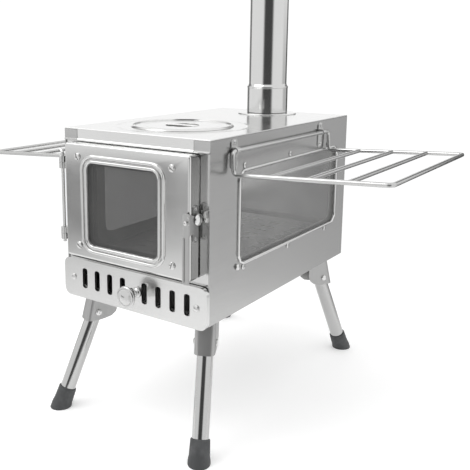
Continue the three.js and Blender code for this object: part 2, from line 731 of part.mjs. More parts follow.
// ---------------------------------------------------------------------------------------------------------
// Door: a pressed pan with two rounded beads round its window, the pane behind them, a retainer frame and
// four slotted screws.
// ---------------------------------------------------------------------------------------------------------
const BEAD_STEP = PANE_BEAD + PANE_BEAD_GAP;
const BEAD_MARGIN = SEAM * 2; // from the window's cut edge to its inner bead
const SCREW_OUT = BEAD_STEP + PANE_BEAD + DOOR_SCREW_HEAD;
const SCREW_LEFT = PANE.left - SCREW_OUT - DOOR_SCREW_GAPS[0];
const SCREW_RIGHT = PANE.right + SCREW_OUT + DOOR_SCREW_GAPS[1];
const SCREW_LOW = PANE.bottom - DOOR_SCREW_LOW;
const SCREW_HIGH = PANE.top + DOOR_SCREW_HIGH;
const DOOR_SCREWS = [
  ["lower_left", SCREW_LEFT, SCREW_LOW],
  ["lower_right", SCREW_RIGHT, SCREW_LOW],
  ["upper_left", SCREW_LEFT, SCREW_HIGH],
  ["upper_right", SCREW_RIGHT, SCREW_HIGH],
];

function paneOutline(grow) {
  return rounded(PANE.left - grow, PANE.right + grow, PANE.bottom - grow, PANE.top + grow, PANE_CORNER + grow);
}

// A rounded bead standing proud of the door's face, with its inner edge `from` outside the window.
function paneBead(from) {
  const round = PANE_BEAD * 0.29;
  const sunk = SHEET / 3; // below the face, inside the sheet
  const ring = ringOutline(paneOutline(from + PANE_BEAD - round), paneOutline(from + round));
  const bead = new THREE.ExtrudeGeometry(ring, {
    depth: sunk * 2,
    bevelThickness: PANE_BEAD_RISE - sunk,
    bevelSize: round,
    bevelSegments: 2,
    curveSegments: 2,
  });
  return bead.rotateX(Math.PI / 2).translate(0, -DOOR_DEPTH + sunk, 0);
}

function doorScrewHoles() {
  return DOOR_SCREWS.map(([, x, z]) => {
    return pointed(cylinder(SCREW_SHANK + FIT, 0, BEYOND, 8), FORWARD, x, 0, z);
  });
}

function doorPan() {
  const bend = DOOR_BEND;
  const block = new THREE.ExtrudeGeometry(
    rounded(DOOR_LEFT + bend, DOOR_RIGHT - bend, DOOR_BOTTOM + bend, DOOR_TOP - bend, bend / 2),
    { depth: DOOR_DEPTH, bevelThickness: bend, bevelSize: bend, bevelSegments: 3, curveSegments: 1 },
  );
  block.rotateX(Math.PI / 2).translate(0, bend, 0);
  const behind = box(-BEYOND, BEYOND, -FIT - SEAM, BEYOND, 0, BEYOND);
  const hollow = facing(
    rectangle(DOOR_LEFT + SHEET, DOOR_RIGHT - SHEET, DOOR_BOTTOM + SHEET, DOOR_TOP - SHEET),
    -DOOR_DEPTH + SHEET,
    BEYOND,
  );
  const shell = cut(block, behind, hollow);
  const beads = join(paneBead(BEAD_MARGIN), paneBead(BEAD_MARGIN + BEAD_STEP));
  const ahead = box(-BEYOND, BEYOND, -BEYOND, -DOOR_DEPTH + SHEET, 0, BEYOND);
  const opening = facing(paneOutline(0), -BEYOND, BEYOND, 2);
  return cut(join(shell, common(beads, ahead)), opening, doorScrewHoles());
}

const DOOR_INNER_FACE = -DOOR_DEPTH + SHEET + SEAM;

function doorGlass() {
  return facing(paneOutline(PANE_LAP), DOOR_INNER_FACE, DOOR_GLASS, 2);
}

function doorRetainer() {
  const lap = RETAINER_LAP;
  const frame = rounded(SCREW_LEFT - lap, SCREW_RIGHT + lap, SCREW_LOW - lap, SCREW_HIGH + lap, lap - 1);
  frame.holes.push(paneOutline(-PANE_LAP));
  const plate = facing(frame, DOOR_INNER_FACE + DOOR_GLASS + SEAM, SHEET, 2);
  return cut(plate, doorScrewHoles());
}

// ---------------------------------------------------------------------------------------------------------
// Hinge: knuckles on the front sheet above and below, knuckles on the door between them, one long pin whose
// top is bent over so that it cannot drop through.
// ---------------------------------------------------------------------------------------------------------
const HINGE_X = DOOR_LEFT - HINGE_OUTSET;
const HINGE_Y = -DOOR_DEPTH + HINGE_SETBACK;
const HINGE_CLEAR = 2; // between a hinge piece and the one beside it
const HINGE_TOP = DOOR_TOP - HINGE_INSET;
const HINGE_BOTTOM = DOOR_BOTTOM + HINGE_INSET;

function knuckle(z) {
  const ring = disc(HINGE_X, HINGE_Y, HINGE_KNUCKLE_RADIUS);
  ring.holes.push(disc(HINGE_X, HINGE_Y, HINGE_PIN_RADIUS + FIT));
  return level(ring, z, HINGE_KNUCKLE_HEIGHT, 5);
}

function hingeBracket(z) {
  const low = z - HINGE_KNUCKLE_HEIGHT / 2;
  const top = low + HINGE_KNUCKLE_HEIGHT;
  const outside = HINGE_X - HINGE_KNUCKLE_RADIUS;
  const seat = FRAME_Y - SEAM;
  const arm = box(outside, outside + SHEET * 1.2, HINGE_Y, seat, low, top);
  const foot = box(outside, DOOR_LEFT - HINGE_CLEAR, seat - SHEET, seat, low, top);
  return join(knuckle(low), arm, foot);
}

function doorLug(z) {
  const low = z - HINGE_KNUCKLE_HEIGHT / 2;
  const top = low + HINGE_KNUCKLE_HEIGHT;
  const seat = DOOR_LEFT - SEAM;
  const inner = HINGE_X + HINGE_KNUCKLE_RADIUS * 0.75;
  const neck = box(inner, seat, HINGE_Y - SHEET * 0.8, HINGE_Y + SHEET * 0.8, low, top);
  const pad = box(seat - SHEET, seat, HINGE_Y - HINGE_CLEAR, -HINGE_CLEAR, low - SHEET * 2, top + SHEET * 2);
  return join(knuckle(low), neck, pad);
}

function hingePin() {
  const half = HINGE_KNUCKLE_HEIGHT / 2;
  const stand = 5; // bare pin above the top knuckle, where its bend starts
  const tail = 4; // and below the bottom one
  const top = HINGE_TOP + half + stand;
  return wire(
    [
      [HINGE_X, HINGE_Y, HINGE_BOTTOM - half - tail],
      [HINGE_X, HINGE_Y, top],
      [HINGE_X - 6, HINGE_Y + 2, top + 3],
    ],
    HINGE_PIN_RADIUS,
    3.5,
  );
}

// ---------------------------------------------------------------------------------------------------------
// Latch: a base plate on the door's right flange, a folded lever that turns on a round-headed pin, and a
// keeper on the front sheet. The lever's finger points up behind the keeper's lip; lifting the grip forward
// lowers the finger out of the way. The hanging grip's own weight keeps the latch shut.
// ---------------------------------------------------------------------------------------------------------
const LATCH_BASE_X = DOOR_RIGHT + SEAM;
const LATCH_CHEEK_X = LATCH_BASE_X + SHEET + FIT;
const LATCH_PIVOT_Z = (DOOR_BOTTOM + DOOR_TOP) / 2 - LATCH_PIVOT_DROP;
const GRIP_DROP = LATCH_PIVOT_Z - DOOR_BOTTOM + GRIP_BELOW_DOOR;
const GRIP_SWING = GRIP_DROP * Math.sin(THREE.MathUtils.degToRad(LATCH_INWARD_SWING)); // at the grip's tip
const LATCH_FACE_Y = -DOOR_DEPTH - GRIP_SWING - FIT - SHEET;
const GRIP_LEFT = DOOR_RIGHT - GRIP_LAP;
const FRONT_GAP = FRAME_Y - LATCH_PIVOT_Y; // from the pivot back to the front sheet
const FINGER_BACK = FRONT_GAP - FIT * 2 - SEAM * 2;
const FINGER_TOP = -0.6; // measured from the pivot, as the next two are
const LIP_BOTTOM = FINGER_TOP + FIT;
const LIP_TOP = 5;

function latchBase() {
  const middle = LATCH_PIVOT_Z - LATCH_EYE * 1.25;
  const half = 5;
  const plate = rounded(
    LATCH_PIVOT_Y - half,
    LATCH_PIVOT_Y + half,
    middle - LATCH_BASE_HALF,
    middle + LATCH_BASE_HALF,
    half * 0.8,
  );
  const rivets = [-1, 1].map((end) => {
    const z = middle + (end * LATCH_RIVET_SPAN) / 2;
    const seat = LATCH_BASE_X + SHEET - SEAM / 2;
    return pointed(fastener(2.6, 1.6, 1.3, SHEET / 2), RIGHT, seat, LATCH_PIVOT_Y, z);
  });
  return cut(join(sideways(plate, LATCH_BASE_X, SHEET, 2), rivets), latchBore());
}

function latchBore() {
  const radius = LATCH_PIN_RADIUS + FIT;
  return pointed(cylinder(radius, 0, BEYOND, 12), RIGHT, DOOR_RIGHT, LATCH_PIVOT_Y, LATCH_PIVOT_Z);
}

function latchLever() {
  const z = LATCH_PIVOT_Z;
  const y = LATCH_PIVOT_Y;
  const eye = LATCH_EYE;
  const cheek = new THREE.Shape();
  cheek.moveTo(LATCH_FACE_Y, z + LATCH_FACE_RISE);
  cheek.lineTo(LATCH_FACE_Y, z - LATCH_FACE_FALL + 2);
  cheek.lineTo(LATCH_FACE_Y + 6, z - LATCH_FACE_FALL + 2);
  cheek.quadraticCurveTo(y - 4, z - 12, y + 2, z - 8);
  cheek.quadraticCurveTo(y + 7, z - 6, y + FINGER_BACK, z - 3.4);
  cheek.lineTo(y + FINGER_BACK, z + FINGER_TOP);
  cheek.lineTo(y + FINGER_BACK - FINGER_WIDTH, z + FINGER_TOP);
  cheek.lineTo(y + FINGER_BACK - FINGER_WIDTH, z - 2.6);
  cheek.lineTo(y + eye * 0.85, z - 2.3);
  cheek.absarc(y, z, eye, -0.55, THREE.MathUtils.degToRad(118), false);
  const side = sideways(cheek, LATCH_CHEEK_X, SHEET, 2);
  const right = LATCH_CHEEK_X + SHEET;
  const face = facing(
    rounded(GRIP_LEFT, right, z - LATCH_FACE_FALL, z + LATCH_FACE_RISE, 2.5),
    LATCH_FACE_Y,
    SHEET,
    2,
  );
  const grip = facing(rounded(GRIP_LEFT, right - 1, z - GRIP_DROP, z - 10, 2), LATCH_FACE_Y, SHEET, 2);
  const curl = facing(
    rounded(GRIP_LEFT, GRIP_LEFT + 2.4, z - GRIP_DROP + 2, z - LATCH_FACE_FALL - 2, 1),
    LATCH_FACE_Y - 1,
    SHEET + 1,
    1,
  );
  const rivets = [3, -3.5].map((rise) => {
    const seat = LATCH_FACE_Y + SEAM / 2;
    return pointed(fastener(2.3, 1.3, 1.1, SHEET / 2), FORWARD, right - 2.6, seat, z + rise);
  });
  return cut(join(side, face, grip, curl, rivets), latchBore());
}

function latchPin() {
  const seat = LATCH_CHEEK_X + SHEET + FIT;
  const tail = LATCH_BASE_X - seat;
  const head = LATCH_PIN_HEAD;
  const pin = turned(
    [
      [0, tail],
      [LATCH_PIN_RADIUS, tail],
      [LATCH_PIN_RADIUS, 0],
      [head - 0.7, 0],
      [head, 0.9],
      [head - 0.8, 2.6],
      [head * 0.5, 3.8],
      [0, 4.2],
    ],
    14,
  );
  return pointed(pin, RIGHT, seat, LATCH_PIVOT_Y, LATCH_PIVOT_Z);
}

function latchKeeper() {
  const y = LATCH_PIVOT_Y;
  const z = LATCH_PIVOT_Z;
  const seat = FRAME_Y - SEAM;
  const finger = y + FINGER_BACK - FINGER_WIDTH;
  const arch = z + LIP_BOTTOM + SHEET; // underside of the arm, over the finger
  const lip = outline([
    [finger - FIT - KEEPER_LIP, z + LIP_BOTTOM],
    [finger - FIT, z + LIP_BOTTOM],
    [finger - FIT, arch],
    [seat, arch],
    [seat, z + LIP_TOP],
    [finger - FIT - KEEPER_LIP, z + LIP_TOP],
  ]);
  const arm = sideways(lip, LATCH_CHEEK_X, SHEET);
  const foot = box(LATCH_CHEEK_X, INSIDE - SHEET, seat - SHEET, seat, arch, z + LIP_TOP * 2);
  return join(arm, foot);
}

// ---------------------------------------------------------------------------------------------------------
// Side racks: each is one bent wire with three bars welded across it. Its inner rod turns in two saddles
// screwed to the wall, and the rack is held level by its drops resting against the window's lip.
// ---------------------------------------------------------------------------------------------------------
const RACK_ROD_X = HALF + 2 + RACK_WIRE;
const RACK_FRONT = RACK_INSETS[0];
const RACK_REAR = BODY_DEPTH - RACK_INSETS[1];
const RACK_LENGTH = RACK_REAR - RACK_FRONT;
const RACK_MIDDLE_Y = (RACK_FRONT + RACK_REAR) / 2;
const RACK_HALF = RACK_LENGTH / 2;
const RACK_DROP = RACK_PIVOT_Z - WINDOW_TOP - WINDOW_LIP / 4; // down to the window's lip, which it rests on
const SADDLES_Y = [
  RACK_MIDDLE_Y - RACK_HALF + SADDLE_INSETS[0],
  RACK_MIDDLE_Y + RACK_HALF - SADDLE_INSETS[1],
];
const SADDLE_TOP = RACK_PIVOT_Z + SADDLE_RISE;
const SADDLE_BOTTOM = WINDOW_TOP + WINDOW_LIP + 1;
const SADDLE_SCREWS_Z = [SADDLE_TOP - 4.5, SADDLE_BOTTOM + 6.5];

function rack(tilt) {
  const rise = Math.tan(THREE.MathUtils.degToRad(tilt));
  const inner = HALF + WINDOW_LIP_RISE + RACK_WALL_GAP + RACK_WIRE - RACK_ROD_X;
  const outer = HALF + RACK_REACH - RACK_ROD_X;
  const foot = -RACK_DROP;
  const tip = foot + (outer - inner) * rise;
  const weld = SADDLE_INSETS[0] - RACK_HALF; // where the rod's two ends meet, hidden in a saddle
  const frame = wire(
    [
      [0, weld + 0.15, 0],
      [0, RACK_HALF, 0],
      [inner, RACK_HALF, foot],
      [outer, RACK_HALF, tip],
      [outer, -RACK_HALF, tip],
      [inner, -RACK_HALF, foot],
      [0, -RACK_HALF, 0],
      [0, weld - 0.15, 0],
    ],
    RACK_WIRE,
    RACK_BEND,
  );
  const bars = [];
  for (let i = 1; i <= RACK_BARS; i++) {
    const share = i / (RACK_BARS + 1);
    const x = inner + (outer - inner) * share;
    const z = foot + (tip - foot) * share;
    bars.push(pointed(cylinder(RACK_WIRE - SEAM, 0, RACK_LENGTH, 8), [0, 1, 0], x, -RACK_HALF, z));
  }
  return join(frame, bars);
}

function saddle(y) {
  const strap = rounded(y - SADDLE_WIDTH / 2, y + SADDLE_WIDTH / 2, SADDLE_BOTTOM, SADDLE_TOP, SADDLE_CORNER);
  const seat = HALF + SEAM;
  const plate = sideways(strap, seat, SADDLE_SHEET, 1);
  const bore = RACK_WIRE + FIT;
  const half = SADDLE_WIDTH * 0.27;
  const loop = facing(arch(bore + SADDLE_SHEET, seat), y - half, half * 2, 3);
  const passage = facing(arch(bore, HALF - 1), y - SADDLE_WIDTH, SADDLE_WIDTH * 2, 3);
  const screws = SADDLE_SCREWS_Z.map((z) => {
    const screw = fastener(SADDLE_SCREW_HEAD, 1.8, SADDLE_SCREW_SHANK, SADDLE_SHEET + SHEET * 3);
    return pointed(screw, RIGHT, seat + SADDLE_SHEET - SEAM / 2, y, z);
  });
  return join(cut(join(plate, loop), passage), screws);
}

// The round of a saddle over the rod, with straight sides back to x.
function arch(radius, x) {
  const shape = new THREE.Shape();
  shape.absarc(RACK_ROD_X, RACK_PIVOT_Z, radius, -Math.PI / 2, Math.PI / 2, false);
  shape.lineTo(x, RACK_PIVOT_Z + radius);
  shape.lineTo(x, RACK_PIVOT_Z - radius);
  return shape;
}

function saddleScrewHoles(x) {
  const radius = SADDLE_SCREW_SHANK + FIT;
  return SADDLES_Y.flatMap((y) => {
    return SADDLE_SCREWS_Z.map((z) => pointed(cylinder(radius, 0, SHEET * 3, 8), RIGHT, x, y, z));
  });
}

// ---------------------------------------------------------------------------------------------------------
// Legs: a tube that turns on a rivet in a folded bracket under each corner, splayed out against the
// bracket's leaning end wall, with a rubber foot cut level with the ground.
// Each corner has a frame of its own: X points outwards along the splay, Z up, origin at the pivot.
// ---------------------------------------------------------------------------------------------------------
const SPLAY = THREE.MathUtils.degToRad(LEG_SPLAY);
const LEAN = Math.tan(THREE.MathUtils.degToRad(BRACKET_LEAN));
const LEG_REACH = (FLOOR_ABOVE_GROUND - LEG_PIVOT_DROP) / Math.cos(SPLAY);
const BRACKET_INSIDE = LEG_RADIUS + BRACKET_SIDE_GAP;
const BRACKET_TOP = LEG_PIVOT_DROP - FIT;
const BRACKET_BOTTOM = LEG_PIVOT_DROP - BRACKET_HEIGHT;

// The end wall's inner face, where the splayed tube comes to rest against its bottom edge.
function bracketEnd(z) {
  const stop = LEG_RADIUS / Math.cos(SPLAY) - BRACKET_BOTTOM * Math.tan(SPLAY) + FIT;
  return stop - (z - BRACKET_BOTTOM) * LEAN;
}

function legBracket() {
  const inside = BRACKET_INSIDE;
  const outside = inside + SHEET;
  const end = bracketEnd(0) + SHEET;
  const bend = BRACKET_BEND;
  const far = -BEYOND;
  const channel = new THREE.Shape();
  channel.moveTo(far, -outside);
  channel.absarc(end - bend, -outside + bend, bend, -Math.PI / 2, 0, false);
  channel.absarc(end - bend, outside - bend, bend, 0, Math.PI / 2, false);
  channel.lineTo(far, outside);
  channel.lineTo(far, inside);
  channel.absarc(end - bend, outside - bend, bend - SHEET, Math.PI / 2, 0, true);
  channel.absarc(end - bend, -outside + bend, bend - SHEET, 0, -Math.PI / 2, true);
  channel.lineTo(far, -inside);
  const leaning = level(channel, -BRACKET_HEIGHT * 1.5, BRACKET_HEIGHT * 3, 1);
  leaning.applyMatrix4(new THREE.Matrix4().makeShear(0, 0, 0, 0, -LEAN, 0));
  const front = bracketEnd(BRACKET_BOTTOM) + SHEET * 2;
  const rear = front - SHEET - BRACKET_LENGTH;
  const profile = new THREE.Shape();
  profile.moveTo(front, BRACKET_TOP);
  profile.lineTo(rear, BRACKET_TOP);
  profile.lineTo(rear, BRACKET_BOTTOM + 17);
  profile.quadraticCurveTo(rear + 1, BRACKET_BOTTOM + 2.5, rear + 20, BRACKET_BOTTOM + 1);
  profile.lineTo(rear + 28, BRACKET_BOTTOM);
  profile.lineTo(front, BRACKET_BOTTOM);
  const walls = common(leaning, facing(profile, -BEYOND, BEYOND * 2, 3));
  const web = box(rear, bracketEnd(BRACKET_TOP), -inside - FIT, inside + FIT, BRACKET_TOP - SHEET, BRACKET_TOP);
  return cut(join(walls, web), legBore());
}

function legBore() {
  return pointed(cylinder(PIVOT_RADIUS + FIT, -BEYOND, BEYOND, 8), [0, 1, 0], 0, 0, 0);
}

function legTube() {
  const wall = LEG_RADIUS - LEG_WALL;
  const bottom = -LEG_REACH + FOOT_SOLE + FIT;
  const tube = turned(
    [
      [wall, bottom],
      [LEG_RADIUS, bottom],
      [LEG_RADIUS, LEG_TOP],
      [wall, LEG_TOP],
      [wall, bottom],
    ],
    16,
  );
  return cut(tube, legBore());
}

// The foot is a moulded cap with a rounded shoulder, a slight flare and a level sole.
function rubberFoot() {
  const top = -LEG_REACH + FOOT_LENGTH;
  const bore = LEG_RADIUS + FIT;
  const low = -LEG_REACH - FOOT_BOTTOM_RADIUS;
  const socket = -LEG_REACH + FOOT_SOLE;
  const cap = turned(
    [
      [0, low],
      [FOOT_BOTTOM_RADIUS, low],
      [FOOT_BOTTOM_RADIUS, -LEG_REACH + 4],
      [FOOT_BOTTOM_RADIUS - 1, -LEG_REACH + 8],
      [FOOT_TOP_RADIUS, top - 1.5],
      [FOOT_TOP_RADIUS - 0.7, top],
      [bore, top],
      [bore, socket],
      [0, socket],
    ],
    16,
  );
  const ground = box(-BEYOND, BEYOND, -BEYOND, BEYOND, -BEYOND, 0);
  ground.rotateY(SPLAY).translate(0, 0, -LEG_REACH);
  return cut(cap, ground);
}

function legRivet() {
  const seat = BRACKET_INSIDE + SHEET + SEAM;
  const shoulder = RIVET_HEAD * 0.75;
  return turned(
    [
      [0, -seat - RIVET_RISE],
      [shoulder, -seat - RIVET_RISE],
      [RIVET_HEAD, -seat - RIVET_RISE / 2],
      [RIVET_HEAD, -seat],
      [PIVOT_RADIUS, -seat],
      [PIVOT_RADIUS, seat],
      [RIVET_HEAD, seat],
      [RIVET_HEAD, seat + RIVET_RISE / 2],
      [shoulder, seat + RIVET_RISE],
      [0, seat + RIVET_RISE],
    ],
    8,
  ).rotateX(-Math.PI / 2);
}

// ---------------------------------------------------------------------------------------------------------
// Top: the cooking lid with its lifting bar, the flue collar and two lengths of flue pipe.
// ---------------------------------------------------------------------------------------------------------
// The lid is one pressing: a rim that lies on the top, a ring below that drops into the hole, a shallow
// groove and a cup in the middle with a flat bar across it to lift by.
function cookingLid() {
  const top = TOP_SEAT + LID_RISE;
  const cup = top - LID_CUP_DEPTH;
  const ring = LID_RADIUS - LID_LAP - FIT * 2 - SEAM;
  const groove = LID_RADIUS - LID_GROOVE_INSET;
  const lid = turned(
    [
      [0, cup - SHEET],
      [LID_CUP + SHEET, cup - SHEET],
      [LID_CUP + SHEET, TOP_SEAT],
      [ring - SHEET, TOP_SEAT],
      [ring - SHEET, TOP_SEAT - LID_RING_DEPTH],
      [ring, TOP_SEAT - LID_RING_DEPTH],
      [ring, TOP_SEAT],
      [LID_RADIUS, TOP_SEAT],
      [LID_RADIUS, top - 0.7],
      [LID_RADIUS - 0.8, top],
      [groove + 0.8, top],
      [groove, top - 0.6],
      [groove - 0.8, top],
      [LID_CUP + 0.8, top],
      [LID_CUP, top - 0.8],
      [LID_CUP, cup],
      [0, cup],
    ],
    30,
  );
  const half = LID_CUP + SHEET / 2;
  const bar = box(-half, half, -LIFTING_BAR / 2, LIFTING_BAR / 2, top - 1 - SHEET, top - 1);
  return join(lid, bar).translate(0, LID_Y, 0);
}

function flueCollar() {
  const inner = FLUE_RADIUS - FLUE_WALL;
  const ring = turned(
    [
      [inner, TOP_SEAT - COLLAR_SKIRT],
      [FLUE_RADIUS, TOP_SEAT - COLLAR_SKIRT],
      [FLUE_RADIUS, TOP_SEAT],
      [FLUE_FLANGE, TOP_SEAT],
      [FLUE_FLANGE, TOP_SEAT + 0.9],
      [FLUE_FLANGE - 1.5, TOP_SEAT + 1.7],
      [FLUE_RADIUS + 1, TOP_SEAT + COLLAR_RISE],
      [FLUE_RADIUS, TOP_SEAT + COLLAR_RISE + 0.8],
      [FLUE_RADIUS, TOP_SEAT + SPIGOT_HEIGHT],
      [inner, TOP_SEAT + SPIGOT_HEIGHT],
      [inner, TOP_SEAT - COLLAR_SKIRT],
    ],
    24,
  );
  return ring.translate(0, FLUE_Y, 0);
}

// A pipe length: its lower end is swaged out into a bell that slips over the spigot below it, with a raised
// bead where the bell ends.
function pipeLength() {
  const bell = BELL_RADIUS;
  return turned(
    [
      [bell - FLUE_WALL, 0],
      [bell, 0],
      [bell, BELL_LENGTH],
      [bell + 0.5, BELL_LENGTH + 1.2],
      [bell - 0.2, BELL_LENGTH + 2.6],
      [FLUE_RADIUS, BELL_LENGTH + SHOULDER],
      [FLUE_RADIUS, PIPE_LENGTH],
      [FLUE_RADIUS - FLUE_WALL, PIPE_LENGTH],
      [FLUE_RADIUS - FLUE_WALL, BELL_LENGTH + SHOULDER],
      [bell - FLUE_WALL, BELL_LENGTH + 1],
      [bell - FLUE_WALL, 0],
    ],
    24,
  );
}

const PIPE_FOOT = TOP_SEAT + COLLAR_RISE + FIT;
const PIPE_STEP = PIPE_LENGTH - BELL_LENGTH - SHOULDER / 2; // the spigot runs into the bell as far as its shoulder

// ---------------------------------------------------------------------------------------------------------
// Assembly.
// ---------------------------------------------------------------------------------------------------------
const stove = new THREE.Group();
const firebox = new THREE.Group();
firebox.position.set(0, -LEG_MIDDLE, FLOOR_ABOVE_GROUND);
stove.add(firebox);

function steel(colour, roughness) {
  return new THREE.MeshStandardMaterial({ color: colour, roughness, metalness: 1 });
}

const polished = () => steel(0xd3d3d1, 0.16);
const brushed = () => steel(0xc4c4c2, 0.34);
const sooty = () => steel(0x8f8f8d, 0.45);
const smoked = () =>
  new THREE.MeshStandardMaterial({ color: 0x6a6d6c, roughness: 0.06, transparent: true, opacity: 0.45 });
const rubber = () => new THREE.MeshStandardMaterial({ color: 0x3b3c3d, roughness: 0.85 });

function add(name, geometry, material, parent = firebox) {
  const mesh = new THREE.Mesh(geometry, material);
  mesh.name = name;
  parent.add(mesh);
  return mesh;
}

add("floor_pan", floorPan(), brushed());
add("rear_wall", rearWall(), polished());
add("front_sheet", frontSheet(), polished());
add("cooking_top", cookingTop(), polished());
add("grate", grate(), sooty());

add("air_panel", airPanel(), brushed());
for (const [i, name] of ["left", "right"].entries()) {
  const seat = AIR_PANEL_DEPTH + SEAM;
  const held = frontScrew(AIR_SCREW_HEAD, -seat, FRAME_Y + SHEET * 2, AIR_SCREWS_X[i], AIR_SCREW_Z);
  add(`air_panel_screw_${name}`, held, polished());
}
add("damper_plate", damperPlate(), brushed());
add("damper_knob", damperKnob(), polished());

add("door_panel", doorPan(), polished());
add("door_glass", doorGlass(), smoked());
add("door_glass_retainer", doorRetainer(), brushed());
for (const [name, x, z] of DOOR_SCREWS) {
  const tail = DOOR_INNER_FACE + DOOR_GLASS + SHEET * 2;
  add(`door_screw_${name}`, frontScrew(DOOR_SCREW_HEAD, -DOOR_DEPTH - SEAM, tail, x, z), polished());
}

const LUG_STEP = HINGE_KNUCKLE_HEIGHT + FIT;
add("hinge_bracket_upper", hingeBracket(HINGE_TOP), brushed());
add("hinge_bracket_lower", hingeBracket(HINGE_BOTTOM), brushed());
add("door_lug_upper", doorLug(HINGE_TOP - LUG_STEP), brushed());
add("door_lug_lower", doorLug(HINGE_BOTTOM + LUG_STEP), brushed());
add("hinge_pin", hingePin(), polished());

add("latch_base", latchBase(), brushed());
add("latch_lever", latchLever(), polished());
add("latch_pin", latchPin(), polished());
add("latch_keeper", latchKeeper(), brushed());

for (const [side, name] of [
  [1, "right"],
  [-1, "left"],
]) {
  const hand = (geometry) => (side > 0 ? geometry : mirrored(geometry));
  add(`side_wall_${name}`, hand(sideWall()), polished());
  add(`window_lip_${name}`, hand(windowLip()), polished());
  add(`window_glass_${name}`, hand(windowGlass()), smoked());
  add(`window_retainer_${name}`, hand(windowRetainer()), brushed());
  const hung = add(`rack_${name}`, hand(rack(side * RACK_TILT)), polished());
  hung.position.set(side * RACK_ROD_X, RACK_MIDDLE_Y, RACK_PIVOT_Z);
  add(`rack_saddle_front_${name}`, hand(saddle(SADDLES_Y[0])), brushed());
  add(`rack_saddle_rear_${name}`, hand(saddle(SADDLES_Y[1])), brushed());
}

add("cooking_lid", cookingLid(), polished());
add("flue_collar", flueCollar(), polished());
add("flue_pipe_lower", pipeLength(), polished()).position.set(0, FLUE_Y, PIPE_FOOT);
add("flue_pipe_upper", pipeLength(), polished()).position.set(0, FLUE_Y, PIPE_FOOT + PIPE_STEP);

for (const [name, signX, signY] of [
  ["front_left", -1, -1],
  ["front_right", 1, -1],
  ["rear_left", -1, 1],
  ["rear_right", 1, 1],
]) {
  const bearing = THREE.MathUtils.degToRad(LEG_BEARING);
  const legX = HALF - LEG_SIDE_INSET;
  const legY = (LEG_REAR - LEG_FRONT) / 2;
  const corner = new THREE.Group();
  corner.position.set(signX * legX, signY * legY, FLOOR_ABOVE_GROUND - LEG_PIVOT_DROP);
  corner.rotation.z = Math.atan2(signY * Math.cos(bearing), signX * Math.sin(bearing));
  stove.add(corner);
  add(`leg_bracket_${name}`, legBracket(), brushed(), corner);
  add(`leg_rivet_${name}`, legRivet(), polished(), corner);
  add(`leg_${name}`, legTube(), polished(), corner).rotation.y = -SPLAY;
  add(`foot_${name}`, rubberFoot(), rubber(), corner).rotation.y = -SPLAY;
}

export default stove;
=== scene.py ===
"""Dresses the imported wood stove: stainless sheet, smoked glass, rubber feet, and the studio round it."""

import json
import math

import bmesh
import bpy
from mathutils import Matrix, Vector

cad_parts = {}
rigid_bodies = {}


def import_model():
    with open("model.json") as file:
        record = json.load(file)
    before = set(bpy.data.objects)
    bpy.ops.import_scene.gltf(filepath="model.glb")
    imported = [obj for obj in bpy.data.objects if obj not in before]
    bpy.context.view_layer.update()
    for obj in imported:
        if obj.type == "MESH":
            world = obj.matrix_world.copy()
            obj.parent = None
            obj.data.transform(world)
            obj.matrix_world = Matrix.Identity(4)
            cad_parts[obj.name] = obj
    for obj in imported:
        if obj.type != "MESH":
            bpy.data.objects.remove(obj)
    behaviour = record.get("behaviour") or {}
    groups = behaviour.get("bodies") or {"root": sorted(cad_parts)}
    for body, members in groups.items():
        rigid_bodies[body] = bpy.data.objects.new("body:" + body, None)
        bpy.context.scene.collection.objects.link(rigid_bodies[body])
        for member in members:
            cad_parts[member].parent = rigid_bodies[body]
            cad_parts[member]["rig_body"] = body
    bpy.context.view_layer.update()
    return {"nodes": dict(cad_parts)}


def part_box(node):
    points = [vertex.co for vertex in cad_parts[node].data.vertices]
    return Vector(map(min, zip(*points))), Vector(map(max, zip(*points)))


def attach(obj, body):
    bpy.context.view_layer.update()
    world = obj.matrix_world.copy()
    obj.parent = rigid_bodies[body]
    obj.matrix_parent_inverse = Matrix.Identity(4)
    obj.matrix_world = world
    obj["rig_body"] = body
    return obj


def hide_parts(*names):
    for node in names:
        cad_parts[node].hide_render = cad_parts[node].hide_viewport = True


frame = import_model()
nodes = frame["nodes"]
MM = 0.001

# ---------------------------------------------------------------------------------------------------------
# Firebox walls. Folded sheets of 1.5 mm stainless steel, sheared, pressed and spot welded, with the mill's
# rolling grain left in their faces. The side walls run their grain along the stove, the front across it.
# ---------------------------------------------------------------------------------------------------------


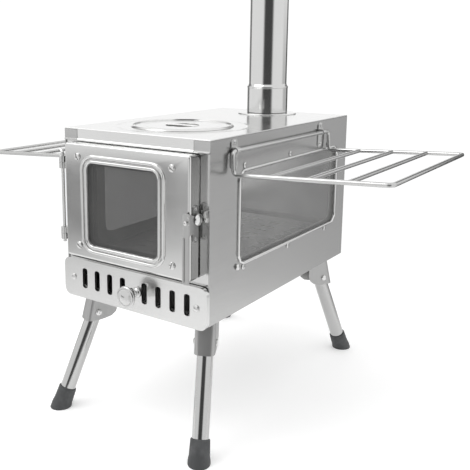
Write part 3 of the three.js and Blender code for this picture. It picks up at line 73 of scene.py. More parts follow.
class Paint:
    """One socket of a material, so that shader maths reads as arithmetic."""

    def __init__(self, tree, socket=None):
        self.tree = tree
        self.socket = socket

    def node(self, kind, settings=None, sockets=None, output=0):
        made = self.tree.nodes.new(kind)
        for name, value in (settings or {}).items():
            if name == "stops":
                for stop, (place, tone) in zip(made.color_ramp.elements, value):
                    stop.position = place
                    stop.color = (tone, tone, tone, 1)
            else:
                setattr(made, name, value)
        for name, value in (sockets or {}).items():
            if isinstance(value, Paint):
                self.tree.links.new(value.socket, made.inputs[name])
            else:
                made.inputs[name].default_value = value
        return Paint(self.tree, made.outputs[output])

    def maths(self, operation, first, second):
        return self.node("ShaderNodeMath", {"operation": operation}, {0: first, 1: second})

    def __add__(self, other):
        return self.maths("ADD", self, other)

    def __mul__(self, other):
        return self.maths("MULTIPLY", self, other)

    def __sub__(self, other):
        return self.maths("SUBTRACT", self, other)

    def __rsub__(self, other):
        return self.maths("SUBTRACT", other, self)

    def __truediv__(self, other):
        return self.maths("DIVIDE", self, other)

    def __pow__(self, other):
        return self.maths("POWER", self, other)

    __radd__ = __add__
    __rmul__ = __mul__

    def ramp(self, low, high):
        """0 below `low`, 1 above `high`, and smooth between them."""
        steps = {"Value": self, "From Min": low, "From Max": high}
        return self.node("ShaderNodeMapRange", {"interpolation_type": "SMOOTHSTEP"}, steps)

    def blend(self, first, second):
        """Mixes two colours by this value."""
        colours = {0: self, 6: first, 7: second}
        return self.node("ShaderNodeMix", {"data_type": "RGBA"}, colours, 2)


def start_material(name):
    material = bpy.data.materials.new(name)
    material.use_nodes = True
    material.node_tree.nodes.clear()
    return material, Paint(material.node_tree)


def end_material(paint, shader):
    output = paint.tree.nodes.new("ShaderNodeOutputMaterial")
    paint.tree.links.new(shader.socket, output.inputs["Surface"])


def noise(paint, stretch, detail, roughness=0.5):
    """Noise on object coordinates, with `stretch` features to the metre along X, Y and Z."""
    place = paint.node("ShaderNodeTexCoord", output=3)
    run = paint.node("ShaderNodeMapping", {"vector_type": "POINT"}, {"Vector": place, "Scale": stretch})
    grain = {"Vector": run, "Scale": 1.0, "Detail": detail, "Roughness": roughness}
    return paint.node("ShaderNodeTexNoise", None, grain)


GRAIN_LENGTHWISE = 9
CLOUDS = (13, 13, 13)
WEAR = (170, 170, 170)
BUMP_DEPTH = 0.1 * MM
RING_HALF = 3.5 * MM
RING_DEPTH = 0.5 * MM


def steel(
    name,
    tone,
    gloss,
    grain_run,
    grain=0.05,
    clouds=0.09,
    fine=420,
    painted_hollow_shade=None,
    painted_cut_highlight=False,
    ring=None,
):
    """Stainless steel: the rolling grain follows the axis `grain_run`, and `clouds` are smears of handling.

    With the painted hollow shade set to two heights, steel below the first is darkened as painted shade and
    above the second it is clean. With the painted cut highlight on, the walls of cut slots are brighter than
    the faces. `ring` is the middle and the radius, in metres, of a faint ring pressed up in a sheet.
    """
    material, paint = start_material(name)
    stretch = [GRAIN_LENGTHWISE if axis == grain_run else fine for axis in "XYZ"]
    lines = noise(paint, stretch, 2.0, 0.6)
    cloud = noise(paint, CLOUDS, 3.5, 0.55)
    wear = noise(paint, WEAR, 4.0, 0.6)
    shade = 0.5 + (lines - 0.5) * grain * 6.0 + (cloud - 0.5) * clouds * 5.0
    dark = (tone * 0.86, tone * 0.86, tone * 0.853, 1)
    light = (tone * 1.12, tone * 1.12, tone * 1.112, 1)
    colour = shade.ramp(0.0, 1.0).blend(dark, light)
    # Painted shade: below the first height the steel darkens, as shade falls in a hollow such as the lid's
    # cup.
    if painted_hollow_shade:
        spot = paint.node("ShaderNodeTexCoord", output=3)
        height = paint.node("ShaderNodeSeparateXYZ", None, {0: spot}, 2)
        hollow_shade_tone = (tone * 0.22, tone * 0.22, tone * 0.215, 1)
        colour = height.ramp(*painted_hollow_shade).blend(hollow_shade_tone, colour)
    # Painted highlight: faces standing on edge, such as the walls of cut slots, are painted near white.
    if painted_cut_highlight:
        facing = paint.node("ShaderNodeNewGeometry", output=1)
        upright = paint.node("ShaderNodeSeparateXYZ", None, {0: facing}, 2)
        colour = (upright * upright).ramp(0.1, 0.6).blend((0.95, 0.95, 0.94, 1), colour)
    rough = gloss + (cloud - 0.5) * clouds * 1.6 + (lines - 0.5) * grain + (wear - 0.5) * 0.03
    height = lines * 0.8 + wear * 0.2
    scratched = {"Strength": grain, "Distance": BUMP_DEPTH, "Height": height}
    bump = paint.node("ShaderNodeBump", None, scratched)
    if ring:
        middle, radius = ring
        run = paint.node("ShaderNodeTexCoord", output=3)
        run = paint.node("ShaderNodeVectorMath", {"operation": "SUBTRACT"}, {0: run, 1: middle})
        away = paint.node("ShaderNodeVectorMath", {"operation": "LENGTH"}, {0: run}, 1)
        ridge = away.ramp(radius - RING_HALF, radius) - away.ramp(radius, radius + RING_HALF)
        pressed = {"Strength": 1.0, "Distance": RING_DEPTH, "Height": ridge, "Normal": bump}
        bump = paint.node("ShaderNodeBump", None, pressed)
    metal = {"Base Color": colour, "Roughness": rough, "Metallic": 1.0, "Normal": bump}
    end_material(paint, paint.node("ShaderNodeBsdfPrincipled", None, metal))
    return material


JOIN_WITHIN = 0.002 * MM


def merged(node):
    """A copy of a piece's faces with their corners joined and flat pairs of triangles made one face."""
    shape = bmesh.new()
    shape.from_mesh(nodes[node].data)
    bmesh.ops.remove_doubles(shape, verts=shape.verts, dist=JOIN_WITHIN)
    flat = {"angle_face_threshold": 0.01, "angle_shape_threshold": math.pi}
    bmesh.ops.join_triangles(shape, faces=shape.faces, **flat)
    return shape


def finished(name, shape, material, body, stands_for=(), edge=0.35, turn=38):
    """Breaks a piece's sharp edges by `edge` millimetres, gives it its finish and hangs it on its body."""
    mesh = bpy.data.meshes.new(name)
    shape.to_mesh(mesh)
    shape.free()
    mesh.materials.clear()
    mesh.materials.append(material)
    piece = bpy.data.objects.new(name, mesh)
    bpy.context.scene.collection.objects.link(piece)
    mesh.shade_smooth()
    if edge:
        bevel = piece.modifiers.new("broken_edges", "BEVEL")
        bevel.width = edge * MM
        bevel.segments = 2
        bevel.limit_method = "ANGLE"
        bevel.angle_limit = math.radians(turn)
        flats = piece.modifiers.new("flat_faces", "WEIGHTED_NORMAL")
        flats.keep_sharp = True
        flats.weight = 80
        evaluated = piece.evaluated_get(bpy.context.evaluated_depsgraph_get())
        piece.data = bpy.data.meshes.new_from_object(evaluated)
        piece.modifiers.clear()
        piece.data.name = name
    else:
        mesh.set_sharp_from_angle(angle=math.radians(turn))
    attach(piece, body)
    if stands_for:
        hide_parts(*stands_for)
    return piece


def eased(node, material, edge=0.35, turn=38):
    """The piece just as the frame has it, with its edges broken."""
    body = nodes[node]["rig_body"]
    return finished(f"{node}_sheet", merged(node), material, body, [node], edge, turn)


def dressed(node, material):
    """The piece just as the frame has it, with a better material."""
    mesh = nodes[node].data
    mesh.materials.clear()
    mesh.materials.append(material)


WALL_STEEL = steel("wall_steel_lengthwise", 0.52, 0.24, "Y", 0.03, 0.05)
FRONT_STEEL = steel("front_steel_crosswise", 0.66, 0.16, "X", 0.02, 0.06)
DULL_STEEL = steel("inner_steel", 0.5, 0.38, "Y", 0.04, 0.1)

for side in ("left", "right"):
    eased(f"side_wall_{side}", WALL_STEEL, 0.4)
eased("rear_wall", WALL_STEEL, 0.4)
eased("front_sheet", FRONT_STEEL, 0.3)
dressed("floor_pan", DULL_STEEL)

# ---------------------------------------------------------------------------------------------------------
# Grate. A laser-cut plate with staggered slots, dulled by heat, lying loose on the angles in the side walls.
# ---------------------------------------------------------------------------------------------------------
# The walls of the grate's slots carry a painted highlight.
GRATE_STEEL = steel("grate_steel", 0.36, 0.4, "X", 0.05, 0.12, painted_cut_highlight=True)
eased("grate", GRATE_STEEL, 0.25)

# ---------------------------------------------------------------------------------------------------------
# Cooking top. One bright polished sheet folded down over the front, its front edge rolled into a hem. A
# faint ring is pressed up in it round the lid. It is buffed, so it takes up the white of the room.
# ---------------------------------------------------------------------------------------------------------


def middle_of(node):
    low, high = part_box(node)
    return (low + high) / 2


PRESSED_RING = 88 * MM
lid_middle = middle_of("cooking_lid")
ring_middle = (lid_middle.x, lid_middle.y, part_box("cooking_top")[1].z)
TOP_STEEL = steel("top_steel", 0.76, 0.19, "Y", 0.01, 0.03, ring=(ring_middle, PRESSED_RING))
eased("cooking_top", TOP_STEEL, 0.6)

# ---------------------------------------------------------------------------------------------------------
# Cooking lid. Spun from one disc: a sloped brim, a shallow step down inside it, a fine groove, a broad flat
# ring and a cup in the middle, darkened with painted shade, with a flat bar welded across it, which a
# lifting iron hooks under.
# ---------------------------------------------------------------------------------------------------------


def spun(profile, segments=96):
    """Turns a closed profile of (radius, height) in millimetres about Z."""
    shape = bmesh.new()
    rings = []
    for radius, height in profile:
        if radius == 0:
            rings.append([shape.verts.new((0, 0, height * MM))])
            continue
        ring = []
        for i in range(segments):
            angle = math.tau * i / segments
            place = Vector((radius * math.cos(angle), radius * math.sin(angle), height)) * MM
            ring.append(shape.verts.new(place))
        rings.append(ring)
    pairs = list(zip(rings, rings[1:]))
    if len(rings[0]) > 1:
        pairs.append((rings[-1], rings[0]))
    for low, high in pairs:
        for i in range(segments):
            j = (i + 1) % segments
            corners = [low[i % len(low)], low[j % len(low)], high[j % len(high)], high[i % len(high)]]
            corners = list(dict.fromkeys(corners))
            if len(corners) > 2:
                shape.faces.new(corners)
    bmesh.ops.recalc_face_normals(shape, faces=shape.faces)
    return shape


LID_RADIUS = 69.5
LID_RISE = 2.4
LID_BRIM = 3.2
LID_STEP = 1.6
LID_RING = 61.8
LID_GROOVE = 51.7
LID_CUP = 22.5
LID_CUP_DEPTH = 6
LID_SHEET = 1.5
LID_PILOT = 3.5
BAR_HALF_WIDTH = 6
lid_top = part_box("cooking_lid")[1].z / MM
lid_seat = lid_top - LID_RISE
lid_cup = lid_top - LID_CUP_DEPTH
lid_profile = [
    (0, lid_cup - LID_SHEET),
    (LID_CUP + LID_SHEET, lid_cup - LID_SHEET),
    (LID_CUP + LID_SHEET, lid_seat),
    (LID_RING - LID_SHEET, lid_seat),
    (LID_RING - LID_SHEET, lid_seat - LID_PILOT),
    (LID_RING, lid_seat - LID_PILOT),
    (LID_RING, lid_seat),
    (LID_RADIUS, lid_seat),
    (LID_RADIUS - 0.1, lid_seat + 0.3),
    (LID_RADIUS - LID_BRIM * 0.5, lid_top - 0.7),
    (LID_RADIUS - LID_BRIM * 0.8, lid_top - 0.15),
    (LID_RADIUS - LID_BRIM, lid_top),
    (LID_RADIUS - LID_BRIM - 0.1, lid_top - LID_STEP),
    (LID_GROOVE + 1.1, lid_top - LID_STEP),
    (LID_GROOVE + 0.5, lid_top - LID_STEP - 0.3),
    (LID_GROOVE, lid_top - LID_STEP - 0.4),
    (LID_GROOVE - 0.5, lid_top - LID_STEP - 0.3),
    (LID_GROOVE - 1.1, lid_top - LID_STEP),
    (LID_CUP + 1.4, lid_top - LID_STEP),
    (LID_CUP + 0.4, lid_top - LID_STEP - 0.3),
    (LID_CUP, lid_top - 1.4),
    (LID_CUP - 0.3, lid_cup + 0.6),
    (LID_CUP - 1.2, lid_cup),
    (0, lid_cup),
]
lid = spun(lid_profile, 128)
bar_half = Vector((LID_CUP + LID_SHEET / 2, BAR_HALF_WIDTH, LID_SHEET / 2)) * MM
bar_place = Matrix.Translation((0, 0, (lid_top - 1 - LID_SHEET / 2) * MM))
bmesh.ops.create_cube(lid, size=2, matrix=bar_place @ Matrix.Diagonal((*bar_half, 1)))
bmesh.ops.translate(lid, verts=lid.verts, vec=(lid_middle.x, lid_middle.y, 0))
# Painted shade in the cup: darkest at the cup's floor, fading out just below the stepped face.
lid_cup_shade = (lid_cup * MM, (lid_top - LID_STEP - 0.3) * MM)
LID_STEEL = steel("lid_steel", 0.75, 0.17, "X", 0.01, 0.03, painted_hollow_shade=lid_cup_shade)
finished("cooking_lid_pressing", lid, LID_STEEL, "lid", ["cooking_lid"], 0.2)

# ---------------------------------------------------------------------------------------------------------
# Flue. A flanged collar pressed through the cooking top, and pipe lengths rolled from thin bright sheet;
# the foot of each is swaged out into a bell, with a raised bead where the bell ends, and slips over the
# spigot below.
# ---------------------------------------------------------------------------------------------------------
PIPE_STEEL = steel("pipe_steel", 0.64, 0.12, "Z", 0.012, 0.03, 260)
PIPE_RADIUS = 30
PIPE_WALL = 1
BELL_RADIUS = 32.2
BELL_LENGTH = 39
SHOULDER = 5.5


def bead(radius, height, rise, half, steps=6):
    """A rounded bead, standing `rise` proud of a pipe and reaching `half` to either side of its middle."""
    arc = []
    for i in range(steps + 1):
        angle = math.pi * i / steps
        arc.append((radius + rise * math.sin(angle), height - half * math.cos(angle)))
    return arc


for node in ("flue_pipe_lower", "flue_pipe_upper"):
    low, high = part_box(node)
    length = (high.z - low.z) / MM
    profile = [
        (BELL_RADIUS - PIPE_WALL, 0),
        (BELL_RADIUS, 0),
        *bead(BELL_RADIUS, BELL_LENGTH + 0.4, 0.48, 1.5),
        (BELL_RADIUS - 0.9, BELL_LENGTH + 3.2),
        (PIPE_RADIUS + 0.4, BELL_LENGTH + SHOULDER - 0.8),
        (PIPE_RADIUS, BELL_LENGTH + SHOULDER + 0.6),
        (PIPE_RADIUS, length),
        (PIPE_RADIUS - PIPE_WALL, length),
        (PIPE_RADIUS - PIPE_WALL, BELL_LENGTH + SHOULDER),
        (BELL_RADIUS - PIPE_WALL, BELL_LENGTH + 1),
    ]
    pipe = spun(profile)
    middle = middle_of(node)
    bmesh.ops.translate(pipe, verts=pipe.verts, vec=(middle.x, middle.y, low.z))
    finished(f"{node}_length", pipe, PIPE_STEEL, nodes[node]["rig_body"], [node], 0.15)

SPUN_STEEL = steel("spun_steel", 0.75, 0.17, "X", 0.01, 0.03)
FLANGE_RADIUS = 46.3
collar_low, collar_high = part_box("flue_collar")
COLLAR_SKIRT = 10
spigot_top = (collar_high.z - collar_low.z) / MM
collar_profile = [
    (PIPE_RADIUS - PIPE_WALL, 0),
    (PIPE_RADIUS, 0),
    (PIPE_RADIUS, COLLAR_SKIRT),
    (FLANGE_RADIUS, COLLAR_SKIRT),
    (FLANGE_RADIUS, COLLAR_SKIRT + 0.8),
    (FLANGE_RADIUS - 0.5, COLLAR_SKIRT + 1.4),
    (FLANGE_RADIUS - 1.6, COLLAR_SKIRT + 1.7),
    (PIPE_RADIUS + 3, COLLAR_SKIRT + 2.0),
    (PIPE_RADIUS + 1, COLLAR_SKIRT + 2.2),
    (PIPE_RADIUS, COLLAR_SKIRT + 3),
    (PIPE_RADIUS, spigot_top),
    (PIPE_RADIUS - PIPE_WALL, spigot_top),
]
collar = spun(collar_profile)
middle = middle_of("flue_collar")
bmesh.ops.translate(collar, verts=collar.verts, vec=(middle.x, middle.y, collar_low.z))
finished("flue_collar_spinning", collar, SPUN_STEEL, "firebox", ["flue_collar"], 0.15)

# ---------------------------------------------------------------------------------------------------------
# Side windows. A pane of smoked heat-proof glass behind each opening, a pressed lip round it outside, tacked
# to the wall with a blob of weld, and a retainer frame inside. Six screws draw them together.
# ---------------------------------------------------------------------------------------------------------
TRIM_STEEL = steel("trim_steel", 0.72, 0.18, "Y", 0.03, 0.05)


def smoked_glass(name, tone, clearness):
    """Heat-proof glass with a grey tint; a faint film of dust takes the edge off its gloss in places."""
    material, paint = start_material(name)
    film = noise(paint, (14, 14, 14), 4.0, 0.6)
    colour = film.ramp(0.3, 0.75).blend((tone, tone, tone, 1), (tone * 1.25, tone * 1.25, tone * 1.22, 1))
    rough = 0.045 + film * 0.05
    solid = (1 - clearness) + (film - 0.5) * 0.06
    glass = {"Base Color": colour, "Roughness": rough, "Metallic": 0.0, "Alpha": solid, "IOR": 1.5}
    end_material(paint, paint.node("ShaderNodeBsdfPrincipled", None, glass))
    return material


SIDE_GLASS = smoked_glass("side_glass", 0.55, 0.77)
WELD_SUNK = 1.2
WELD_OUT = 0.6
WELD_DOWN = 0.2
WELD_HALF = Vector((2.0, 3.8, 4.2)) * MM

for side in ("left", "right"):
    eased(f"window_lip_{side}", TRIM_STEEL, 0.3, 50)
    dressed(f"window_glass_{side}", SIDE_GLASS)
    dressed(f"window_retainer_{side}", DULL_STEEL)
    lip_low, lip_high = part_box(f"window_lip_{side}")
    face = lip_high.x - WELD_SUNK * MM if side == "right" else lip_low.x + WELD_SUNK * MM
    weld = bmesh.new()
    weld_place = Matrix.Translation((face, lip_low.y - WELD_OUT * MM, lip_low.z - WELD_DOWN * MM))
    weld_size = Matrix.Diagonal((*WELD_HALF, 1))
    bmesh.ops.create_icosphere(weld, subdivisions=3, radius=1, matrix=weld_place @ weld_size)
    finished(f"window_lip_weld_{side}", weld, TRIM_STEEL, "firebox", (), 0, 60)

# ---------------------------------------------------------------------------------------------------------
# Door. A deep-drawn pan with two rounded beads pressed up round its window, the pane behind them and a
# retainer frame inside; the retainer screws have slotted heads.
# ---------------------------------------------------------------------------------------------------------
DOOR_STEEL = steel("door_steel", 0.68, 0.12, "X", 0.015, 0.09)
DOOR_GLASS = smoked_glass("door_glass", 0.09, 0.32)
eased("door_panel", DOOR_STEEL, 0.3, 50)
dressed("door_glass", DOOR_GLASS)
dressed("door_glass_retainer", DULL_STEEL)

# ---------------------------------------------------------------------------------------------------------
# Hinge. Two folded knuckle brackets on the front sheet, two lugs welded to the door, and one long pin with
# its top bent over.
# ---------------------------------------------------------------------------------------------------------
FITTING_STEEL = steel("fitting_steel", 0.62, 0.22, "Z", 0.05, 0.08)
for level in ("upper", "lower"):
    eased(f"hinge_bracket_{level}", FITTING_STEEL, 0.2, 45)
    eased(f"door_lug_{level}", FITTING_STEEL, 0.2, 45)
eased("hinge_pin", TRIM_STEEL, 0.2, 60)

# ---------------------------------------------------------------------------------------------------------
# Latch. A riveted base plate, a folded lever with a hanging grip, the pin it turns on and the keeper on the
# front sheet, all pressed from the door's sheet and tumbled smooth.
# ---------------------------------------------------------------------------------------------------------
LATCH_STEEL = steel("latch_steel", 0.46, 0.34, "Z", 0.1, 0.2, 300)
eased("latch_base", LATCH_STEEL, 0.25, 45)
eased("latch_lever", LATCH_STEEL, 0.3, 45)
eased("latch_pin", TRIM_STEEL, 0.2, 60)
eased("latch_keeper", FITTING_STEEL, 0.2, 45)

# ---------------------------------------------------------------------------------------------------------
# Air supply. A shallow slotted tray over the air way, and behind it a damper plate that slides sideways on
# the shank of a knob turned from bar.
# ---------------------------------------------------------------------------------------------------------
AIR_SLOT_PITCH = 22
AIR_SLOT_FIRST = 17.9
AIR_SLOT_MIDDLE = 3
AIR_SLOT_EASE = 1.2
AIR_SLOT_SHIFT = 1.4
AIR_SLOTS_A_SIDE = 4
AIR_SLOT_HEIGHTS = (12, 44)
AIR_STEEL = steel("air_panel_steel", 0.72, 0.22, "X", 0.04, 0.05)
tray = merged("air_panel")
tray_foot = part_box("air_panel")[0].z
slot_middles = [
    AIR_SLOT_MIDDLE + sign * (AIR_SLOT_FIRST + AIR_SLOT_PITCH * i)
    for sign in (-1, 1)
    for i in range(AIR_SLOTS_A_SIDE)
]
for corner in tray.verts:
    height = (corner.co.z - tray_foot) / MM
    if not AIR_SLOT_HEIGHTS[0] < height < AIR_SLOT_HEIGHTS[1]:
        continue
    for middle in slot_middles:
        offset = corner.co.x / MM - middle
        if abs(offset) < AIR_SLOT_PITCH / 4:
            ease = math.copysign(min(AIR_SLOT_EASE, abs(offset)), offset)
            corner.co.x += (AIR_SLOT_SHIFT + ease) * MM
finished("air_panel_tray", tray, AIR_STEEL, "firebox", ["air_panel"], 0.5)
DAMPER_STEEL = steel("damper_steel", 0.42, 0.45, "X", 0.08, 0.1)
dressed("damper_plate", DAMPER_STEEL)

KNOB_STEEL = steel("knob_steel", 0.58, 0.1, "Z", 0.015, 0.03)
KNOB_RADIUS = 14
KNOB_POST = 2.8
knob_low, knob_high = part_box("damper_knob")
KNOB_CROWN = 35
KNOB_FOOT = 1.1
PANEL_FACE = 6
knob_profile = [
    (0, KNOB_FOOT),
    (KNOB_POST, KNOB_FOOT),
    (KNOB_POST, PANEL_FACE + 1),
    (5.6, PANEL_FACE + 1),
    (6.5, PANEL_FACE + 1.9),
    (6.8, PANEL_FACE + 3.3),
    (6.5, PANEL_FACE + 4.7),
    (5.6, PANEL_FACE + 5.6),
    (4.3, PANEL_FACE + 6.4),
    (3.9, PANEL_FACE + 7.6),
    (4.3, PANEL_FACE + 8.8),
    (5.4, PANEL_FACE + 9.7),
    (5.8, PANEL_FACE + 10.7),
    (5.2, PANEL_FACE + 12),
    (4.7, PANEL_FACE + 14),
    (5.1, PANEL_FACE + 16.6),
    (6.6, PANEL_FACE + 19.2),
    (9.8, PANEL_FACE + 20.8),
    (12.6, PANEL_FACE + 21.8),
    (13.7, PANEL_FACE + 23),
    (KNOB_RADIUS, PANEL_FACE + 24.2),
    (13.6, PANEL_FACE + 25.4),
    (12.3, PANEL_FACE + 26.3),
    (10.2, PANEL_FACE + 26.7),
    (9.6, PANEL_FACE + 26.4),
    (7, PANEL_FACE + 27.4),
    (3.6, PANEL_FACE + 28.5),
    (0, KNOB_CROWN),
]
knob = spun(knob_profile, 64)
knob_middle = (knob_low + knob_high) / 2
knob_seat = Matrix.Translation((knob_middle.x, knob_high.y + KNOB_FOOT * MM, knob_middle.z))
bmesh.ops.transform(knob, verts=knob.verts, matrix=knob_seat @ Matrix.Rotation(math.pi / 2, 4, "X"))
finished("damper_knob_turning", knob, KNOB_STEEL, "damper", ["damper_knob"], 0, 40)

# ---------------------------------------------------------------------------------------------------------
# Screws. Turned from stainless bar: deep-slotted pan heads on the door and the air panel and small ones with
# one fine slot round the side windows. The plain round head on the latch lever is a closed rivet.
# ---------------------------------------------------------------------------------------------------------
SCREW_STEEL = steel("screw_steel", 0.66, 0.14, "X", 0.02, 0.03)


def add_node(tree, kind, sockets=None, **settings):
    made = tree.nodes.new(kind)
    for name, value in settings.items():
        setattr(made, name, value)
    for name, value in (sockets or {}).items():
        values = value if isinstance(value, list) else [value]
        for one in values:
            if isinstance(one, bpy.types.NodeSocket):
                tree.links.new(one, made.inputs[name])
            else:
                made.inputs[name].default_value = one
    return made


def start_tree(name, inputs):
    """A geometry tree with one geometry and the named sizes as its inputs."""
    tree = bpy.data.node_groups.new(name, "GeometryNodeTree")
    tree.interface.new_socket("Geometry", in_out="INPUT", socket_type="NodeSocketGeometry")
    for label, kind in inputs:
        tree.interface.new_socket(label, in_out="INPUT", socket_type=f"NodeSocket{kind}")
    tree.interface.new_socket("Geometry", in_out="OUTPUT", socket_type="NodeSocketGeometry")
    return tree, tree.nodes.new("NodeGroupInput").outputs


def end_tree(tree, geometry, material):
    whole = add_node(tree, "GeometryNodeRealizeInstances", {"Geometry": geometry}).outputs[0]
    finish = {"Geometry": whole, "Material": material}
    painted = add_node(tree, "GeometryNodeSetMaterial", finish).outputs[0]
    output = tree.nodes.new("NodeGroupOutput")
    tree.links.new(painted, output.inputs[0])


def grown(name, start, tree, values):
    """Runs a geometry tree on a mesh and returns the result as a bmesh."""
    holder = bpy.data.objects.new(name, start)
    bpy.context.scene.collection.objects.link(holder)
    modifier = holder.modifiers.new("tree", "NODES")
    modifier.node_group = tree
    for item in tree.interface.items_tree:
        if item.in_out == "INPUT" and item.name in values:
            modifier[item.identifier] = values[item.name]
    evaluated = holder.evaluated_get(bpy.context.evaluated_depsgraph_get())
    mesh = bpy.data.meshes.new_from_object(evaluated)
    bpy.data.objects.remove(holder)
    shape = bmesh.new()
    shape.from_mesh(mesh)
    bpy.data.meshes.remove(mesh)
    return shape


HEAD_EDGE = 0.38
CUTTER_CLEAR = 0.1
ROUND_HEAD = {"Segments": 24, "Rings": 14, "Radius": 1.0}


def heads_tree():
    """Sets a domed head on every point, cut by one slot or two, and turned to its own angle."""
    sizes = [(label, "Float") for label in ("Radius", "Rise", "Slot", "Slot Depth", "Cross")]
    tree, given = start_tree("heads", [*sizes, ("Out", "Vector"), ("Seed", "Int"), ("Steel", "Material")])

    def product(first, second):
        return add_node(tree, "ShaderNodeMath", {0: first, 1: second}, operation="MULTIPLY").outputs[0]

    def vector(x, y, z):
        return add_node(tree, "ShaderNodeCombineXYZ", {0: x, 1: y, 2: z}).outputs[0]

    radius, rise, slot, depth = given["Radius"], given["Rise"], given["Slot"], given["Slot Depth"]
    ball = add_node(tree, "GeometryNodeMeshUVSphere", ROUND_HEAD).outputs[0]
    lift = vector(0.0, 0.0, product(rise, HEAD_EDGE))
    size = vector(radius, radius, product(rise, 1 - HEAD_EDGE))
    dome = {"Geometry": ball, "Translation": lift, "Scale": size}
    dome = add_node(tree, "GeometryNodeTransform", dome).outputs[0]

    def block(x, y, z, height):
        cube = add_node(tree, "GeometryNodeMeshCube").outputs[0]
        laid = {"Geometry": cube, "Translation": vector(0.0, 0.0, height), "Scale": vector(x, y, z)}
        return add_node(tree, "GeometryNodeTransform", laid).outputs[0]

    wide = product(radius, 3.0)
    under = block(wide, wide, product(rise, 2.0), product(rise, -1.0))
    above = add_node(tree, "ShaderNodeMath", {0: 1.5, 1: depth}, operation="SUBTRACT").outputs[0]
    height = product(rise, above)
    first = block(wide, slot, rise, height)
    # Without a cross, the second cutter is lifted clear of the head.
    plain = add_node(tree, "ShaderNodeMath", {0: 1.0, 1: given["Cross"]}, operation="SUBTRACT").outputs[0]
    lifted = {0: height, 1: product(plain, CUTTER_CLEAR)}
    away = add_node(tree, "ShaderNodeMath", lifted, operation="ADD").outputs[0]
    second = block(slot, wide, rise, away)
    cutters = {"Mesh 1": dome, "Mesh 2": [under, first, second]}
    head = add_node(tree, "GeometryNodeMeshBoolean", cutters, operation="DIFFERENCE").outputs[0]
    facing = {"Vector": given["Out"]}
    facing = add_node(tree, "FunctionNodeAlignRotationToVector", facing, axis="Z").outputs[0]
    spin = add_node(tree, "FunctionNodeRandomValue", data_type="FLOAT")
    spin.inputs[2].default_value = 0.0
    spin.inputs[3].default_value = math.tau
    tree.links.new(given["Seed"], spin.inputs[8])
    about = {"Axis": (0, 0, 1), "Angle": spin.outputs[1]}
    about = add_node(tree, "FunctionNodeAxisAngleToRotation", about).outputs[0]
    turned = {"Rotation": facing, "Rotate By": about}
    turned = add_node(tree, "FunctionNodeRotateRotation", turned, rotation_space="LOCAL").outputs[0]
    placed = {"Points": given["Geometry"], "Instance": head, "Rotation": turned}
    placed = add_node(tree, "GeometryNodeInstanceOnPoints", placed).outputs[0]
    end_tree(tree, placed, given["Steel"])
    return tree


HEADS = heads_tree()


def heads(name, places, out, body, stands_for, seed, radius, rise, slot, depth=0.62, cross=0.0):
    """Heads at `places`, in metres, facing `out`; `depth` is the slot's share of the rise."""
    start = bpy.data.meshes.new(name)
    start.from_pydata([tuple(place) for place in places], [], [])
    lengths = {"Radius": radius * MM, "Rise": rise * MM, "Slot": slot * MM}
    values = {**lengths, "Slot Depth": depth, "Cross": cross, "Out": out, "Seed": seed, "Steel": SCREW_STEEL}
    shape = grown(f"{name}_points", start, HEADS, values)
    return finished(name, shape, SCREW_STEEL, body, stands_for, 0, 42)


def seat_of(node, head_rise):
    """Where a front screw's head sits: the middle of the node, `head_rise` behind its foremost point."""
    low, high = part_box(node)
    return Vector(((low.x + high.x) / 2, low.y + head_rise * MM, (low.z + high.z) / 2))


FORWARD = (0, -1, 0)
DOOR_SCREWS = [f"door_screw_{row}_{side}" for row in ("lower", "upper") for side in ("left", "right")]
DOOR_HEAD = {"radius": 4.8, "rise": 2.3, "slot": 1.5, "depth": 0.85}
door_seats = [seat_of(node, DOOR_HEAD["rise"]) for node in DOOR_SCREWS]
heads("door_screw_heads", door_seats, FORWARD, "door", DOOR_SCREWS, 3, **DOOR_HEAD)
AIR_SCREWS = ["air_panel_screw_left", "air_panel_screw_right"]
AIR_HEAD = {"radius": 4.3, "rise": 2.15, "slot": 1.3, "depth": 0.8}
air_seats = [seat_of(node, AIR_HEAD["rise"]) for node in AIR_SCREWS]
heads("air_panel_screw_heads", air_seats, FORWARD, "firebox", AIR_SCREWS, 9, **AIR_HEAD)

WINDOW_HEAD = {"radius": 3.8, "rise": 1.75, "slot": 0.5, "depth": 0.3}
WINDOW_SCREW_OUT = 7.6
WINDOW_SCREW_INSETS = (11, 30.5)
LIP = 4
for side, sign in (("left", -1), ("right", 1)):
    low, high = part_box(f"window_lip_{side}")
    front = low.y + (LIP + WINDOW_SCREW_INSETS[0]) * MM
    rear = high.y - (LIP + WINDOW_SCREW_INSETS[1]) * MM
    rows = (low.z + (LIP - WINDOW_SCREW_OUT) * MM, high.z - (LIP - WINDOW_SCREW_OUT) * MM)
    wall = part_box("cooking_top")[1].x * sign
    places = [(wall, y, z) for y in (front, (front + rear) / 2, rear) for z in rows]
    heads(f"window_screw_heads_{side}", places, (sign, 0, 0), "firebox", (), 21 + sign, **WINDOW_HEAD)

lever_low, lever_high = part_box("latch_lever")
LEVER_RIVET_IN = 4.6
LEVER_RIVET_SUNK = 0.1
LEVER_RIVET_DOWN = 11
LEVER_RIVET = {"radius": 2.6, "rise": 0.9, "slot": 0.2, "depth": 0.1}
rivet_x = lever_low.x + LEVER_RIVET_IN * MM
rivet_y = lever_low.y + LEVER_RIVET_SUNK * MM
lever_rivet = (rivet_x, rivet_y, lever_high.z - LEVER_RIVET_DOWN * MM)
heads("latch_lever_rivet", [lever_rivet], FORWARD, "latch", (), 5, **LEVER_RIVET)

# ---------------------------------------------------------------------------------------------------------
# Racks. Each is one run of 5.6 mm stainless rod bent into a tray's outline, with three bars welded across
# it. Its inner rod turns in two folded saddles, each held to the wall by two cross-slotted screws.
# ---------------------------------------------------------------------------------------------------------
ROD_STEEL = steel("rod_steel", 0.56, 0.2, "Y", 0.02, 0.04)


